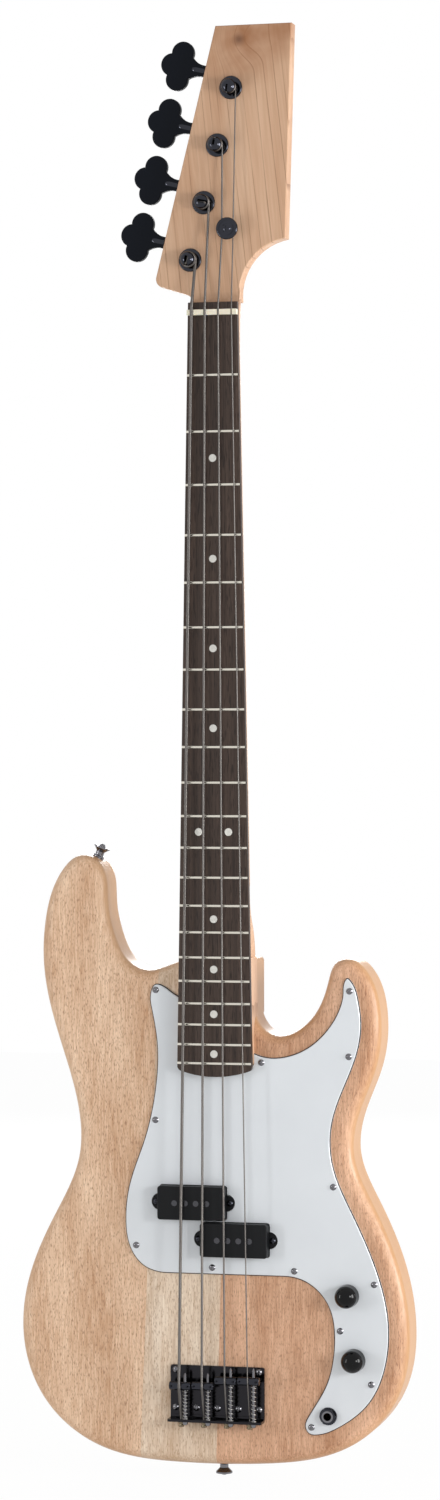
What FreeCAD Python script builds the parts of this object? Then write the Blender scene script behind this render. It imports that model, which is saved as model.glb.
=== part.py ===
import FreeCAD, Part
import math
import os
from FreeCAD import Vector

# A four-string electric bass guitar with an uncut paddle headstock, in millimetres.
# X runs to the treble side, Y to the back and Z up to the headstock.
# The origin is on the nut's front edge, on the centre line, in the fingerboard's glue plane.

# Scale, frets and fingerboard
SCALE_LENGTH = 863.6
FRET_COUNT = 21
BOARD_NUT_WIDTH = 41.3
BOARD_END_WIDTH = 62.6
BOARD_LENGTH = 617.8
BOARD_END_BOW = 5.6
BOARD_CORNER = 4.0
BOARD_PAST_NUT = 10.6
BOARD_THICKNESS = 6.0
BOARD_RADIUS = 305.0
FRET_WIDTH = 2.4
FRET_HEIGHT = 1.1
FRET_TANG_WIDTH = 0.5
FRET_TANG_DEPTH = 1.7
FRET_INSET = 0.35
SEAT_GAP = 0.02
SLOT_GAP = 0.05
DOT_RADIUS = 3.1
DOT_DEPTH = 2.0
DOT_PAIR_SPACING = 25.0
DOT_FRETS = (3, 5, 7, 9, 12, 15, 17, 19, 21)
DOT_PAIR_FRET = 12
SIDE_DOT_RADIUS = 1.0
NUT_THICKNESS = 4.4
NUT_SLOT_DEPTH = 3.0
NUT_HEIGHT = 3.2
NUT_ACTION = 1.7
NUT_STRING_SPREAD = 33.0

# Neck and headstock
NECK_DEPTH_NUT = 15.0
NECK_DEPTH_BODY = 17.6
NECK_FULLNESS = 2.2
HEEL_LENGTH = 610.0
HEEL_RUN = 89.0
HEEL_DEPTH = 20.4
HEAD_DROP = 5.0
HEAD_THICKNESS = 14.5
HEAD_SCOOP = 12.0
HEAD_EDGE_ROUND = 1.0
HEAD_ROOT_INSET = 0.3
HEAD_EDGE_OFFSET = 24.9
HEAD_RUN_BELOW = 26.2
HEAD_RUN_ABOVE = 189.2
HEAD_CORNER = 7.0
HEAD_SHOULDER_RISE = 6.4
HEAD_TOP_WIDTH = 63.6
HEAD_HORN_X = 58.3
HEAD_HORN_Z = 61.9
TRUSS_WIDTH = 6.0
TRUSS_DEPTH = 9.6
TRUSS_START = 30.0
TRUSS_BAR_RADIUS = 2.3
TRUSS_NUT_RADIUS = 2.9
TRUSS_NUT_LENGTH = 9.0
TRUSS_SOCKET = 2.0
TRUSS_GAP = 0.1

# Body
BODY_OUTLINE = [
    (-33, -525), (-46.2, -529.8), (-60.9, -532.7), (-74.8, -527.3), (-88.5, -504.2), (-94, -479.1),
    (-97.4, -451.3), (-105.6, -441.4), (-117.2, -438.9), (-133.6, -452.1), (-147.2, -489.8), (-148.8, -532.3),
    (-134.7, -592.7), (-120.4, -642.6), (-119, -685.6), (-140.3, -735.5), (-164.4, -795.6), (-166.8, -840.4),
    (-147.8, -889.3), (-102.1, -924.6), (-33.9, -935.3), (35.9, -933.9), (109.3, -916.5), (147.2, -877.4),
    (157.6, -821), (147.5, -766.4), (127.8, -720.6), (111.8, -679.1), (115.8, -648.6), (129.7, -611.9),
    (133.9, -562.1), (122.9, -531.5), (110.3, -522.1), (98.3, -524.2), (91.2, -539.2), (82.6, -562.5),
    (66.5, -579.7), (46, -584.5), (32, -572.7), (28.6, -555.9), (26, -540), (17, -527.5),
    (0, -523.5), (-17, -523),
]
BODY_THICKNESS = 44.45
BODY_EDGE_ROUND = 9.5
TONGUE_WIDTH = 58.6
TONGUE_TOP = 88.0
TONGUE_ROOT_Z = -570.0
TONGUE_CORNER = 4.0
TONGUE_EDGE_ROUND = 2.0
POCKET_DEPTH = 15.4
POCKET_GAP = 0.1
SEAM_BASS_X = -59.4
SEAM_BASS_LEAN = 0.041
SEAM_TREBLE_X = 2.7
SEAM_TREBLE_LEAN = 0.028
SEAM_Z = -781.0
WOOD_SCREW_GAP = 0.05

# Neck fixing
PLATE_WIDTH = 51.0
PLATE_HEIGHT = 64.0
PLATE_THICKNESS = 2.0
PLATE_CORNER = 4.0
PLATE_MARGIN = 1.0
PLATE_SETBACK = 39.0
NECK_SCREW_X = 19.0
NECK_SCREW_Z = 25.4
NECK_SCREW_RADIUS = 2.2
NECK_SCREW_REACH = 13.0
NECK_SCREW_HEAD = 4.2

# Tuning machines
TUNER_E_X = -21.1
TUNER_E_Z = 46.2
TUNER_PITCH = 47.7
TUNER_LEAN = 13.9
FERRULE_RADIUS = 9.5
FERRULE_HEIGHT = 1.8
FERRULE_BARREL = 7.0
FERRULE_DEPTH = 10.0
POST_RADIUS = 6.0
POST_WAIST = 4.0
POST_WAIST_HEIGHT = 8.7
POST_DOME_HEIGHT = 3.8
RUN_GAP = 0.05
TUNER_PLATE_ACROSS = 34.0
TUNER_PLATE_ALONG = 41.6
TUNER_PLATE_SHIFT = 4.5
TUNER_PLATE_THICKNESS = 1.8
TUNER_SCREW_INSET = 3.6
TUNER_SCREW_RADIUS = 1.2
TUNER_SCREW_LENGTH = 10.0
GEAR_TEETH = 20
GEAR_MODULE = 0.7
GEAR_THICKNESS = 3.2
WORM_PITCH_RADIUS = 3.3
WORM_TURNS = 5
MESH_GAP = 0.25
MESH_BACKLASH = 0.3
WORM_HEIGHT = 5.2
WORM_SHAFT_RADIUS = 1.9
LUG_THICKNESS = 3.0
LUG_WIDTH = 8.0
KEY_LOBE_RADIUS = 9.4
KEY_LOBE_OUT = 58.4
KEY_LOBE_IN = 51.7
KEY_LOBE_SPREAD = 11.0
KEY_STEM_START = 27.2
KEY_STEM_HALF = 5.4
KEY_THICKNESS = 6.0
KEY_EDGE_ROUND = 1.2

# String tree
TREE_X = 11.8
TREE_Z = 70.0
TREE_RADIUS = 9.0
TREE_POST_RADIUS = 3.2
TREE_CAP = 2.6
TREE_HEIGHT = 8.0
TREE_STRING_OFFSET = 4.7
TREE_SCREW_RADIUS = 1.4
TREE_SCREW_HEAD = 3.7
TREE_GROOVE_RADIUS = 6.0
TREE_GROOVE_WIDTH = 0.9
TREE_STRING_GAP = 0.15

# Strings: name, diameter and turns on the post
STRINGS = [("e", 2.67, 1.5), ("a", 2.16, 1.75), ("d", 1.65, 2.0), ("g", 1.14, 2.5)]
STRING_SPACING = 19.05
STRING_SEAT_GAP = 0.06
WRAP_GAP = 0.2
WRAP_SPACE = 0.55
WRAP_LIFT = 0.9
WRAP_END_OFFSET = 0.5
WRAP_END_ANGLE = 80.0
STRING_BEND = 25.0
BALL_RADIUS = 2.4
BALL_LENGTH = 4.6

# Bridge
BRIDGE_WIDTH = 78.6
BRIDGE_TOP_Z = -854.0
BRIDGE_END_Z = -898.6
BRIDGE_THICKNESS = 2.0
BRIDGE_LIP_HEIGHT = 14.6
BRIDGE_CORNER = 2.0
BRIDGE_REAR_SCREW_Z = -888.4
BRIDGE_REAR_SPACING = 17.5
BRIDGE_FRONT_SCREW_Z = -857.8
BRIDGE_FRONT_SPACING = 69.6
BRIDGE_SCREW_RADIUS = 1.7
BRIDGE_SCREW_LENGTH = 19.0
BRIDGE_SCREW_HEAD = 2.9
LIP_STRING_HEIGHT = 6.6
SADDLE_RADIUS = 3.5
SADDLE_LENGTH = 17.8
SADDLE_TOP_HEIGHT = 15.1
SADDLE_SETBACK = (5.9, 5.5, 0.6, 0.2)
SADDLE_SCREW_SPREAD = 13.8
SADDLE_SCREW_RADIUS = 1.3
SADDLE_TRAVEL = 4.0
INTONATION_RADIUS = 1.25
INTONATION_OFFSET = 4.05
INTONATION_HEAD = 2.3
INTONATION_HEAD_LENGTH = 3.0
INTONATION_TIP = 3.0
SPRING_RADIUS = 1.95
SPRING_WIRE = 0.7
SPRING_TURNS = 8

# Pickguard
GUARD_TREBLE = [
    (30.2, -598.2), (42, -601.8), (57, -601), (74, -594.5), (90, -581), (100.5, -565),
    (104.8, -550), (106, -540), (108.6, -536.6), (112, -539.2), (117.5, -553), (120, -571),
    (116.5, -598), (104.5, -628.5), (95.5, -657), (97, -690), (112, -725.5), (131, -768),
    (142, -812), (139.5, -850), (126, -880), (101, -900.5), (84, -907), (76, -906),
    (73, -900.5), (76, -891.5), (90, -867.5), (97.3, -832), (92, -801.5), (77, -785.2),
    (57, -779.5),
]
GUARD_BASS = [
    (-42, -779.5), (-60.5, -775), (-73, -760.5), (-77.2, -739), (-73.5, -706), (-61.5, -671.5),
    (-52, -630), (-50.3, -592), (-54.8, -564.5), (-56, -552.5), (-51.5, -543.5), (-43.5, -545.5),
    (-33.2, -552.4),
]
GUARD_THICKNESS = 2.4
GUARD_CHAMFER = 1.2
GUARD_NECK_GAP = 0.4
GUARD_CUTOUT_GAP = 0.5
GUARD_SCREWS = [
    (-51.1, -548.3), (-51.5, -654.5), (110.7, -547.2), (109.9, -600.1), (37.4, -606.1),
    (96.9, -705.7), (-68, -757.3), (-4, -773.8), (64.5, -774.7), (130.5, -783.6), (102.4, -822),
    (128, -864.4), (78.5, -900.7),
]
GUARD_SCREW_RADIUS = 1.5
GUARD_SCREW_HEAD = 2.7
GUARD_SCREW_LENGTH = 12.0

# Split pickup: each half's name, centre X and centre Z
PICKUPS = [("bass", -19.8, -721.0), ("treble", 15.8, -750.5)]
PICKUP_WIDTH = 56.0
PICKUP_HEIGHT = 27.4
PICKUP_CORNER = 2.4
PICKUP_ABOVE_BODY = 12.0
PICKUP_BELOW_FACE = 8.0
PICKUP_WALL = 1.5
PICKUP_EAR_RADIUS = 6.5
PICKUP_EAR_THICKNESS = 3.0
PICKUP_EAR_PROUD = 1.0
PICKUP_SCREW_OFFSET = 3.1
PICKUP_SCREW_RADIUS = 1.4
PICKUP_SCREW_HEAD = 2.6
PICKUP_SCREW_LENGTH = 24.0
PICKUP_SINK = 3.0
PICKUP_RAISE = 2.0
POLE_RADIUS = 2.4
POLE_SPACING = 9.0
POLE_PROUD = 0.3
COIL_RADIUS = 5.6
COIL_GAP = 0.5
FLANGE_THICKNESS = 1.4
PAD_GAP = 0.3
PICKUP_CAVITY_DEPTH = 19.0
CAVITY_GAP = 1.5

# Controls
POTS = [("volume", 108.8, -793.3), ("tone", 113.9, -845.2)]
JACK_X = 92.5
JACK_Z = -891.1
CONTROL_CAVITY_DEPTH = 35.0
POT_CAVITY_RADIUS = 13.5
POT_LINK_RADIUS = 7.0
JACK_CAVITY_RADIUS = 11.5
POT_RADIUS = 12.0
POT_DEPTH = 9.0
BUSH_RADIUS = 4.7
BUSH_GAP = 0.1
SHAFT_RADIUS = 3.0
WASHER_RADIUS = 7.2
WASHER_THICKNESS = 0.6
CONTROL_NUT_FLATS = 11.0
CONTROL_NUT_THICKNESS = 2.3
KNOB_RADIUS = 9.5
KNOB_TOP_RADIUS = 9.0
KNOB_SIDE = 8.5
KNOB_HEIGHT = 15.5
KNOB_LIFT = 0.8
KNOB_RECESS_RADIUS = 7.9
KNOB_BORE_DEPTH = 12.5
JACK_NUT_FLATS = 12.0
JACK_NUT_THICKNESS = 3.0
JACK_BORE = 3.25
JACK_BUSH_PROUD = 4.0
JACK_PLATE_RADIUS = 8.0
JACK_PLATE_THICKNESS = 2.5
JACK_CONTACT_LENGTH = 26.0
JACK_CONTACT_WIDTH = 5.0
JACK_CONTACT_THICKNESS = 0.6
CAPACITOR_RADIUS = 4.5
CAPACITOR_THICKNESS = 3.0
WIRE_RADIUS = 0.8
CHANNEL_RADIUS = 4.0
CHANNEL_DEPTH = 13.0
LEAD_RISE = 7.0
LEAD_BEND = 2.5
LEAD_SPACING = 1.2
LEAD_PICKUP_OFFSET = 10.6

# Strap buttons
BUTTON_HORN_X = -106.3
BUTTON_TAIL_X = -0.5
BUTTON_LEAN = 22.0
BUTTON_BASE_RADIUS = 4.8
BUTTON_WAIST_RADIUS = 3.5
BUTTON_HEAD_RADIUS = 6.8
BUTTON_HEIGHT = 11.0
BUTTON_SEAT = 1.2
BUTTON_SCREW_RADIUS = 1.8
BUTTON_SCREW_HEAD = 3.4
BUTTON_SCREW_LENGTH = 24.0

# Levels along Y and Z that several pieces share
BODY_FACE = HEEL_DEPTH - POCKET_DEPTH
BODY_BACK = BODY_FACE + BODY_THICKNESS
GUARD_FACE = BODY_FACE - GUARD_THICKNESS
HEAD_BACK = HEAD_DROP + HEAD_THICKNESS
BRIDGE_FACE = BODY_FACE - BRIDGE_THICKNESS
SADDLE_AXIS_Y = BODY_FACE - SADDLE_TOP_HEIGHT + SADDLE_RADIUS
LIP_INNER_Z = BRIDGE_END_Z + BRIDGE_THICKNESS
NUT_STRING_Y = -BOARD_THICKNESS - NUT_ACTION
FERRULE_TOP = HEAD_DROP - FERRULE_HEIGHT
TREE_UNDER = HEAD_DROP - TREE_HEIGHT
HEEL_START = HEEL_LENGTH - HEEL_RUN
PLATE_Z = PLATE_SETBACK - HEEL_LENGTH
BACKWARD = Vector(0, 1, 0)
FORWARD = Vector(0, -1, 0)
UP = Vector(0, 0, 1)
FAR = 400.0


# Shape helpers
def cylinder(start, axis, radius, length):
    return Part.makeCylinder(radius, length, start, axis)


def block(x0, x1, y0, y1, z0, z1):
    return Part.makeBox(x1 - x0, y1 - y0, z1 - z0, Vector(x0, y0, z0))


def plate(wire, y0, y1):
    face = Part.Face(wire)
    face.translate(Vector(0, y0, 0))
    return face.extrude(Vector(0, y1 - y0, 0))


def spline(points, closed=False, tangents=None):
    curve = Part.BSplineCurve()
    places = [Vector(x, 0, z) for x, z in points]
    if tangents:
        curve.interpolate(Points=places, InitialTangent=tangents[0], FinalTangent=tangents[1], Scale=False)
    else:
        curve.interpolate(places, closed)
    return curve


def line(p, q):
    return Part.LineSegment(p, q).toShape()


def arc_from_corner(p, corner, q):
    """The circular arc from p to q whose end tangents meet at the corner."""
    middle = (p + q) * 0.5
    half = (q - p).Length / 2
    rise = (corner - middle).Length
    if rise < 1e-9:
        return line(p, q)
    turn = math.atan2(rise, half)
    crest = middle + (corner - middle) * (half * math.tan(turn / 2) / rise)
    return Part.Arc(p, crest, q).toShape()


def rounded_path(points, radii, closed=False):
    """Straight runs joined by tangent arcs, one radius for each point."""
    count = len(points)
    ends = []
    for i, p in enumerate(points):
        if radii[i] == 0:
            ends.append((p, p))
            continue
        before = (p - points[i - 1]).normalize()
        after = (points[(i + 1) % count] - p).normalize()
        reach = radii[i] * math.tan(before.getAngle(after) / 2)
        ends.append((p - before * reach, p + after * reach))
    edges = []
    for i, p in enumerate(points):
        if radii[i] > 0:
            edges.append(arc_from_corner(ends[i][0], p, ends[i][1]))
        if i + 1 < count or closed:
            edges.append(line(ends[i][1], ends[(i + 1) % count][0]))
    return edges


def rounded_rectangle(x, z, width, height, corner):
    w, h = width / 2, height / 2
    corners = [Vector(x + sx * w, 0, z + sz * h) for sx, sz in ((-1, -1), (1, -1), (1, 1), (-1, 1))]
    return Part.Wire(rounded_path(corners, [corner] * 4, True))


def biarc(p0, t0, p1, t1):
    """Two tangent arcs from p0 along t0 to p1 along t1."""
    chord = p1 - p0
    sum_dir = t0 + t1
    spread = 2 * (1 - t0.dot(t1))
    push = chord.dot(sum_dir)
    if spread < 1e-9:
        reach = chord.dot(chord) / (2 * push)
    else:
        reach = (math.sqrt(push * push + spread * chord.dot(chord)) - push) / spread
    corner0 = p0 + t0 * reach
    corner1 = p1 - t1 * reach
    joint = (corner0 + corner1) * 0.5
    return [arc_from_corner(p0, corner0, joint), arc_from_corner(joint, corner1, p1)]


def pipe(edges, radius):
    first = edges[0]
    start = first.valueAt(first.FirstParameter)
    profile = Part.Wire([Part.makeCircle(radius, start, first.tangentAt(first.FirstParameter))])
    return Part.Wire(edges).makePipeShell([profile], True, False)


def self_gap(edges, diameter):
    """Least gap between turns of a wound tube, measured on points along its middle line."""
    step = diameter / 4
    places = []
    run = 0.0
    for edge in edges:
        for p in edge.discretize(Number=max(2, int(edge.Length / step) + 1))[:-1]:
            places.append((run + (p - edge.valueAt(edge.FirstParameter)).Length, p))
        run += edge.Length
    least = FAR
    for i, (s, p) in enumerate(places):
        for t, q in places[i + 1:]:
            if t - s > diameter * math.pi:
                least = min(least, (p - q).Length)
    return least - diameter


def stadium(p, q, radius, y0, y1):
    """A long hole with round ends, from (x, z) p to q."""
    start = Vector(p[0], y0, p[1])
    run = Vector(q[0] - p[0], 0, q[1] - p[1])
    side = Vector(-run.z, 0, run.x).normalize() * radius
    corners = [start + side, start - side, start - side + run, start + side + run]
    middle = Part.Face(Part.makePolygon(corners + corners[:1])).extrude(Vector(0, y1 - y0, 0))
    ends = [cylinder(c, BACKWARD, radius, y1 - y0) for c in (start, start + run)]
    return middle.fuse(ends)


def revolve(profile, base, axis):
    """A solid of revolution from (radius, height) points, standing at base along axis."""
    corners = [Vector(r, 0, h) for r, h in profile]
    face = Part.Face(Part.makePolygon(corners + corners[:1]))
    solid = face.revolve(Vector(0, 0, 0), UP, 360)
    return stand(solid, base, axis)


def stand(shape, base, axis):
    placed = shape.copy()
    placed.Placement = FreeCAD.Placement(base, FreeCAD.Rotation(UP, axis))
    return placed


def dome_screw(head_radius, head_height, shank_radius, length):
    """A cross-recessed screw with a domed head: the head stands up from height 0, the shank goes down."""
    lens = (head_radius ** 2 + head_height ** 2) / (2 * head_height)
    ball = Part.makeSphere(lens, Vector(0, 0, head_height - lens))
    head = ball.common(cylinder(Vector(0, 0, 0), UP, head_radius, head_height))
    recess_long = head_radius * 1.1
    recess_thin = head_radius * 0.26
    recess_depth = head_height * 0.6
    for size_x, size_y in ((recess_long, recess_thin), (recess_thin, recess_long)):
        floor = Vector(-size_x / 2, -size_y / 2, head_height - recess_depth)
        head = head.cut(Part.makeBox(size_x, size_y, head_height, floor))
    tip = shank_radius * 1.6
    shank = cylinder(Vector(0, 0, tip - length), UP, shank_radius, length - tip)
    point = Part.makeCone(shank_radius * 0.3, shank_radius, tip, Vector(0, 0, -length), UP)
    return head.fuse([shank, point]).removeSplitter()


def hexagon(flats, thickness):
    corner = flats / math.sqrt(3)
    angles = [i * math.pi / 3 for i in range(6)]
    corners = [Vector(corner * math.cos(a), corner * math.sin(a), 0) for a in angles]
    return Part.Face(Part.makePolygon(corners + corners[:1])).extrude(Vector(0, 0, thickness))


def hexagon_nut(flats, thickness, bore, base, axis):
    corner = flats / math.sqrt(3)
    prism = hexagon(flats, thickness)
    crown = Part.makeCone(corner + thickness * 0.3, flats / 2, thickness * 1.5)
    nut = prism.common(crown).cut(cylinder(Vector(0, 0, 0), UP, bore, thickness))
    return stand(nut, base, axis)


# Fingerboard, frets, dots and nut
def fret_z(number):
    return -SCALE_LENGTH * (1 - 2 ** (-number / 12))


def half_width(z):
    return (BOARD_NUT_WIDTH - z * (BOARD_END_WIDTH - BOARD_NUT_WIDTH) / BOARD_LENGTH) / 2


CROWN_Y = BOARD_RADIUS - BOARD_THICKNESS


def crown_cylinder():
    low = -BOARD_LENGTH - BOARD_END_BOW
    return cylinder(Vector(0, CROWN_Y, low), UP, BOARD_RADIUS, BOARD_PAST_NUT - low + BOARD_END_BOW)


def dot_places():
    places = []
    for number in DOT_FRETS:
        z = (fret_z(number) + fret_z(number - 1)) / 2
        offsets = (-DOT_PAIR_SPACING / 2, DOT_PAIR_SPACING / 2) if number == DOT_PAIR_FRET else (0,)
        places += [(x, z) for x in offsets]
    return places


def position_dots(gap=0.0):
    above = BOARD_THICKNESS * 0.2
    dots = []
    for x, z in dot_places():
        start = Vector(x, -BOARD_THICKNESS - above, z)
        dots.append(cylinder(start, BACKWARD, DOT_RADIUS + gap, above + DOT_DEPTH + gap))
    for number in DOT_FRETS:
        z = (fret_z(number) + fret_z(number - 1)) / 2
        start = Vector(-half_width(z), -BOARD_THICKNESS / 2, z)
        dots.append(cylinder(start, Vector(1, 0, 0), SIDE_DOT_RADIUS + gap, DOT_DEPTH + gap))
    return dots


def fret_ring(number, tang_width, tang_depth, bead):
    """A fret, or the slot for its tang, bent to the crown of the board."""
    z = fret_z(number)
    foot = BOARD_RADIUS - tang_depth
    seat = BOARD_RADIUS + SEAT_GAP

    def place(r, dz):
        return Vector(0, CROWN_Y - r, z + dz)

    tang = [place(seat, -tang_width / 2), place(foot, -tang_width / 2), place(foot, tang_width / 2),
            place(seat, tang_width / 2)]
    if bead:
        left = place(seat, -FRET_WIDTH / 2)
        right = place(seat, FRET_WIDTH / 2)
        crest = Part.Arc(right, place(seat + FRET_HEIGHT, 0), left).toShape()
        edges = [line(left, tang[0])] + [line(tang[i], tang[i + 1]) for i in range(3)]
        wire = Part.Wire(edges + [line(tang[3], right), crest])
    else:
        wire = Part.makePolygon(tang + tang[:1])
    reach = half_width(z) - FRET_INSET if bead else half_width(z) + FRET_INSET
    half_turn = math.degrees(math.asin(reach / BOARD_RADIUS))
    face = Part.Face(wire)
    centre = Vector(0, CROWN_Y, z)
    face.rotate(centre, UP, -half_turn)
    return face.revolve(centre, UP, 2 * half_turn)


def frets():
    return [fret_ring(n, FRET_TANG_WIDTH, FRET_TANG_DEPTH, True) for n in range(1, FRET_COUNT + 1)]


def nut_block(gap=0.0):
    w = half_width(NUT_THICKNESS)
    top = -BOARD_THICKNESS - NUT_HEIGHT
    return block(-w, w, top, -BOARD_THICKNESS + NUT_SLOT_DEPTH + gap, -gap, NUT_THICKNESS + gap)


def fingerboard():
    corner_z = -BOARD_LENGTH + BOARD_END_BOW
    top, low = half_width(BOARD_PAST_NUT), half_width(corner_z)
    corners = [Vector(-low, 0, corner_z), Vector(-top, 0, BOARD_PAST_NUT), Vector(top, 0, BOARD_PAST_NUT),
               Vector(low, 0, corner_z)]
    end = Part.Arc(corners[3], Vector(0, 0, -BOARD_LENGTH), corners[0]).toShape()
    outline = Part.Wire([line(corners[i], corners[i + 1]) for i in range(3)] + [end])
    board = plate(outline, -BOARD_THICKNESS * 1.5, 0)
    ends = [e for e in board.Edges if abs(e.CenterOfMass.z - corner_z) < 0.01 and e.BoundBox.YLength > 1]
    board = board.makeFillet(BOARD_CORNER, ends).common(crown_cylinder())
    slots = [fret_ring(n, FRET_TANG_WIDTH + SLOT_GAP, FRET_TANG_DEPTH + SLOT_GAP, False)
             for n in range(1, FRET_COUNT + 1)]
    nut_slot = nut_block(SEAT_GAP)
    wide = nut_slot.fuse([nut_slot.translated(Vector(s * BOARD_END_BOW, 0, 0)) for s in (-1, 1)])
    return board.cut(slots + [wide] + position_dots(SEAT_GAP))


# Strings: where each one runs
def string_x(index, spread):
    return (index - 1.5) * spread / 3


def saddle_z(index):
    return -SCALE_LENGTH - SADDLE_SETBACK[index]


def tuner_frame():
    lean = math.radians(TUNER_LEAN)
    along = Vector(math.sin(lean), 0, math.cos(lean))
    outward = Vector(-math.cos(lean), 0, math.sin(lean))
    return along, outward


def post_place(index):
    along, _ = tuner_frame()
    return Vector(TUNER_E_X, 0, TUNER_E_Z) + along * (TUNER_PITCH * index)


def string_path(index):
    """The string's middle line: the long run, and the winding with its tail in the post."""
    _, diameter, turns = STRINGS[index]
    r = diameter / 2
    x_saddle = string_x(index, 3 * STRING_SPACING)
    x_nut = string_x(index, NUT_STRING_SPREAD)
    y_lip = BRIDGE_FACE - LIP_STRING_HEIGHT
    y_saddle = SADDLE_AXIS_Y - SADDLE_RADIUS - r - STRING_SEAT_GAP
    y_nut = NUT_STRING_Y - r - STRING_SEAT_GAP
    leave_lip = LIP_INNER_Z + diameter
    leave_nut = NUT_THICKNESS + diameter
    bend = SADDLE_RADIUS + r + STRING_SEAT_GAP
    z_bend = saddle_z(index)
    for _ in range(4):
        rear = math.atan2(y_lip - y_saddle, z_bend - leave_lip)
        front = math.atan2(y_nut - y_saddle, leave_nut - z_bend)
        z_bend = saddle_z(index) - bend * math.tan((rear - front) / 2)
    points = [Vector(x_saddle, y_lip, BRIDGE_END_Z - SEAT_GAP), Vector(x_saddle, y_lip, leave_lip),
              Vector(x_saddle, y_saddle, z_bend), Vector(x_nut, y_nut, leave_nut)]
    radii = [0, 3 * diameter, bend, STRING_BEND]
    if index > 1:
        side = -1 if index == 2 else 1
        y_tree = TREE_UNDER + r + TREE_STRING_GAP
        z_tree = TREE_Z - math.sqrt(TREE_RADIUS ** 2 - TREE_STRING_OFFSET ** 2)
        points.append(Vector(TREE_X + side * TREE_STRING_OFFSET, y_tree, z_tree))
        radii.append(STRING_BEND)
    centre = post_place(index)
    wrap = POST_WAIST + WRAP_GAP + r
    pitch = diameter + WRAP_SPACE
    y_low = FERRULE_TOP - r - WRAP_LIFT
    last = points[-1]
    away = math.hypot(centre.x - last.x, centre.z - last.z)
    heading = math.atan2(centre.z - last.z, centre.x - last.x) - math.asin(wrap / away)
    start_angle = heading - math.pi / 2

    def on_post(angle, y):
        return Vector(centre.x + wrap * math.cos(angle), y, centre.z + wrap * math.sin(angle))

    touch = on_post(start_angle, y_low)
    points.append(touch)
    radii.append(0)
    climb = math.atan(pitch / (2 * math.pi * wrap))
    place, direction = touch, (touch - last).normalize()
    coil = []
    quarters = int(round(turns * 4))
    for step in range(1, quarters + 1):
        angle = start_angle + step * math.pi / 2
        y = y_low - pitch * step / 4
        flat = math.cos(climb)
        ahead = Vector(-math.sin(angle) * flat, -math.sin(climb), math.cos(angle) * flat)
        coil += biarc(place, direction, on_post(angle, y), ahead)
        place, direction = on_post(angle, y), ahead
    turn_in = start_angle + quarters * math.pi / 2 + math.radians(WRAP_END_ANGLE)
    inward = Vector(-math.cos(turn_in), 0, -math.sin(turn_in))
    inside = Vector(centre.x, place.y - pitch / 8, centre.z) - inward * WRAP_END_OFFSET
    coil += biarc(place, direction, inside, inward)
    coil.append(line(inside, inside + inward * diameter))
    return rounded_path(points, radii), coil, inward


def string_solids(index):
    _, diameter, _ = STRINGS[index]
    run, coil, _ = string_path(index)
    tube = pipe(run + coil, diameter / 2)
    length = sum(e.Length for e in run + coil)
    name = STRINGS[index][0]
    gap = self_gap(coil, diameter)
    ratio = tube.Volume / (length * math.pi * diameter ** 2 / 4)
    print("string", name, "length", round(length, 1), "self gap", round(gap, 2))
    print("string", name, "volume ratio", round(ratio, 4))
    x = string_x(index, 3 * STRING_SPACING)
    place = Vector(x, BRIDGE_FACE - LIP_STRING_HEIGHT, BRIDGE_END_Z - SEAT_GAP)
    return [tube, cylinder(place, Vector(0, 0, -1), BALL_RADIUS, BALL_LENGTH)]


def nut():
    solid = nut_block()
    deep = BOARD_THICKNESS + NUT_HEIGHT
    for index, (_, diameter, _) in enumerate(STRINGS):
        slot = diameter / 2 + STRING_SEAT_GAP
        x0, x1 = string_x(index, 3 * STRING_SPACING), string_x(index, NUT_STRING_SPREAD)
        drift = (x1 - x0) / (NUT_THICKNESS - saddle_z(index))
        middle = Vector(x1, NUT_STRING_Y - slot, NUT_THICKNESS)
        start = middle - Vector(drift, 0, 1) * (2 * NUT_THICKNESS)
        channel = cylinder(start, Vector(drift, 0, 1), slot, 4 * NUT_THICKNESS)
        open_top = block(x1 - slot, x1 + slot, middle.y - deep, middle.y, -NUT_THICKNESS, 2 * NUT_THICKNESS)
        solid = solid.cut([channel, open_top])
    return solid


# Neck
def neck_section(z, width, depth, fullness):
    """A D-shaped section: flat on top, a full curve at the back."""
    steps = 16
    places = []
    for i in range(steps + 1):
        turn = math.pi * i / steps
        x = width * math.copysign(abs(math.cos(turn)) ** (2 / fullness), math.cos(turn))
        places.append(Vector(x, depth * math.sin(turn) ** (2 / fullness), z))
    places[0] = Vector(width, 0, z)
    places[-1] = Vector(-width, 0, z)
    curve = Part.BSplineCurve()
    curve.interpolate(places)
    return Part.Wire([curve.toShape(), line(places[-1], places[0])])


def neck_shaft():
    """Three lofts: the swell into the headstock, the long taper and the swell into the heel."""
    head_z = BOARD_PAST_NUT + HEAD_SCOOP
    slope = (NECK_DEPTH_BODY - NECK_DEPTH_NUT) / (HEEL_START - HEAD_SCOOP)

    def taper(z, swell=0.0, fullness=NECK_FULLNESS):
        depth = NECK_DEPTH_NUT - z * slope + swell
        return neck_section(z, half_width(min(z, BOARD_PAST_NUT)), depth, fullness)

    head_swell = HEAD_BACK - NECK_DEPTH_NUT
    heel_swell = HEEL_DEPTH - NECK_DEPTH_BODY
    upper = [taper(z, share * (head_swell + slope * max(z, 0)), fullness) for z, share, fullness in
             ((head_z, 1, 4.5), (13, 0.9, 4.0), (3, 0.65, 3.4), (-8, 0.3, 2.8), (-22, 0.08, 2.35))]
    upper.append(taper(-2 * head_z))
    long_start, long_end = -2 * head_z, -HEEL_START + 60
    lower = [taper(rise - HEEL_START, heel_swell * share, fullness) for rise, share, fullness in
             ((37, 0.05, 2.3), (26, 0.35, 4.6), (14, 0.75, 9.0), (-0.5, 0.93, 14.0))]
    lower.insert(0, taper(long_end))
    middle = [taper(long_start), taper(long_end)]
    return [Part.makeLoft(upper, True, False), Part.makeLoft(middle, True, True),
            Part.makeLoft(lower, True, False)]


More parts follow.
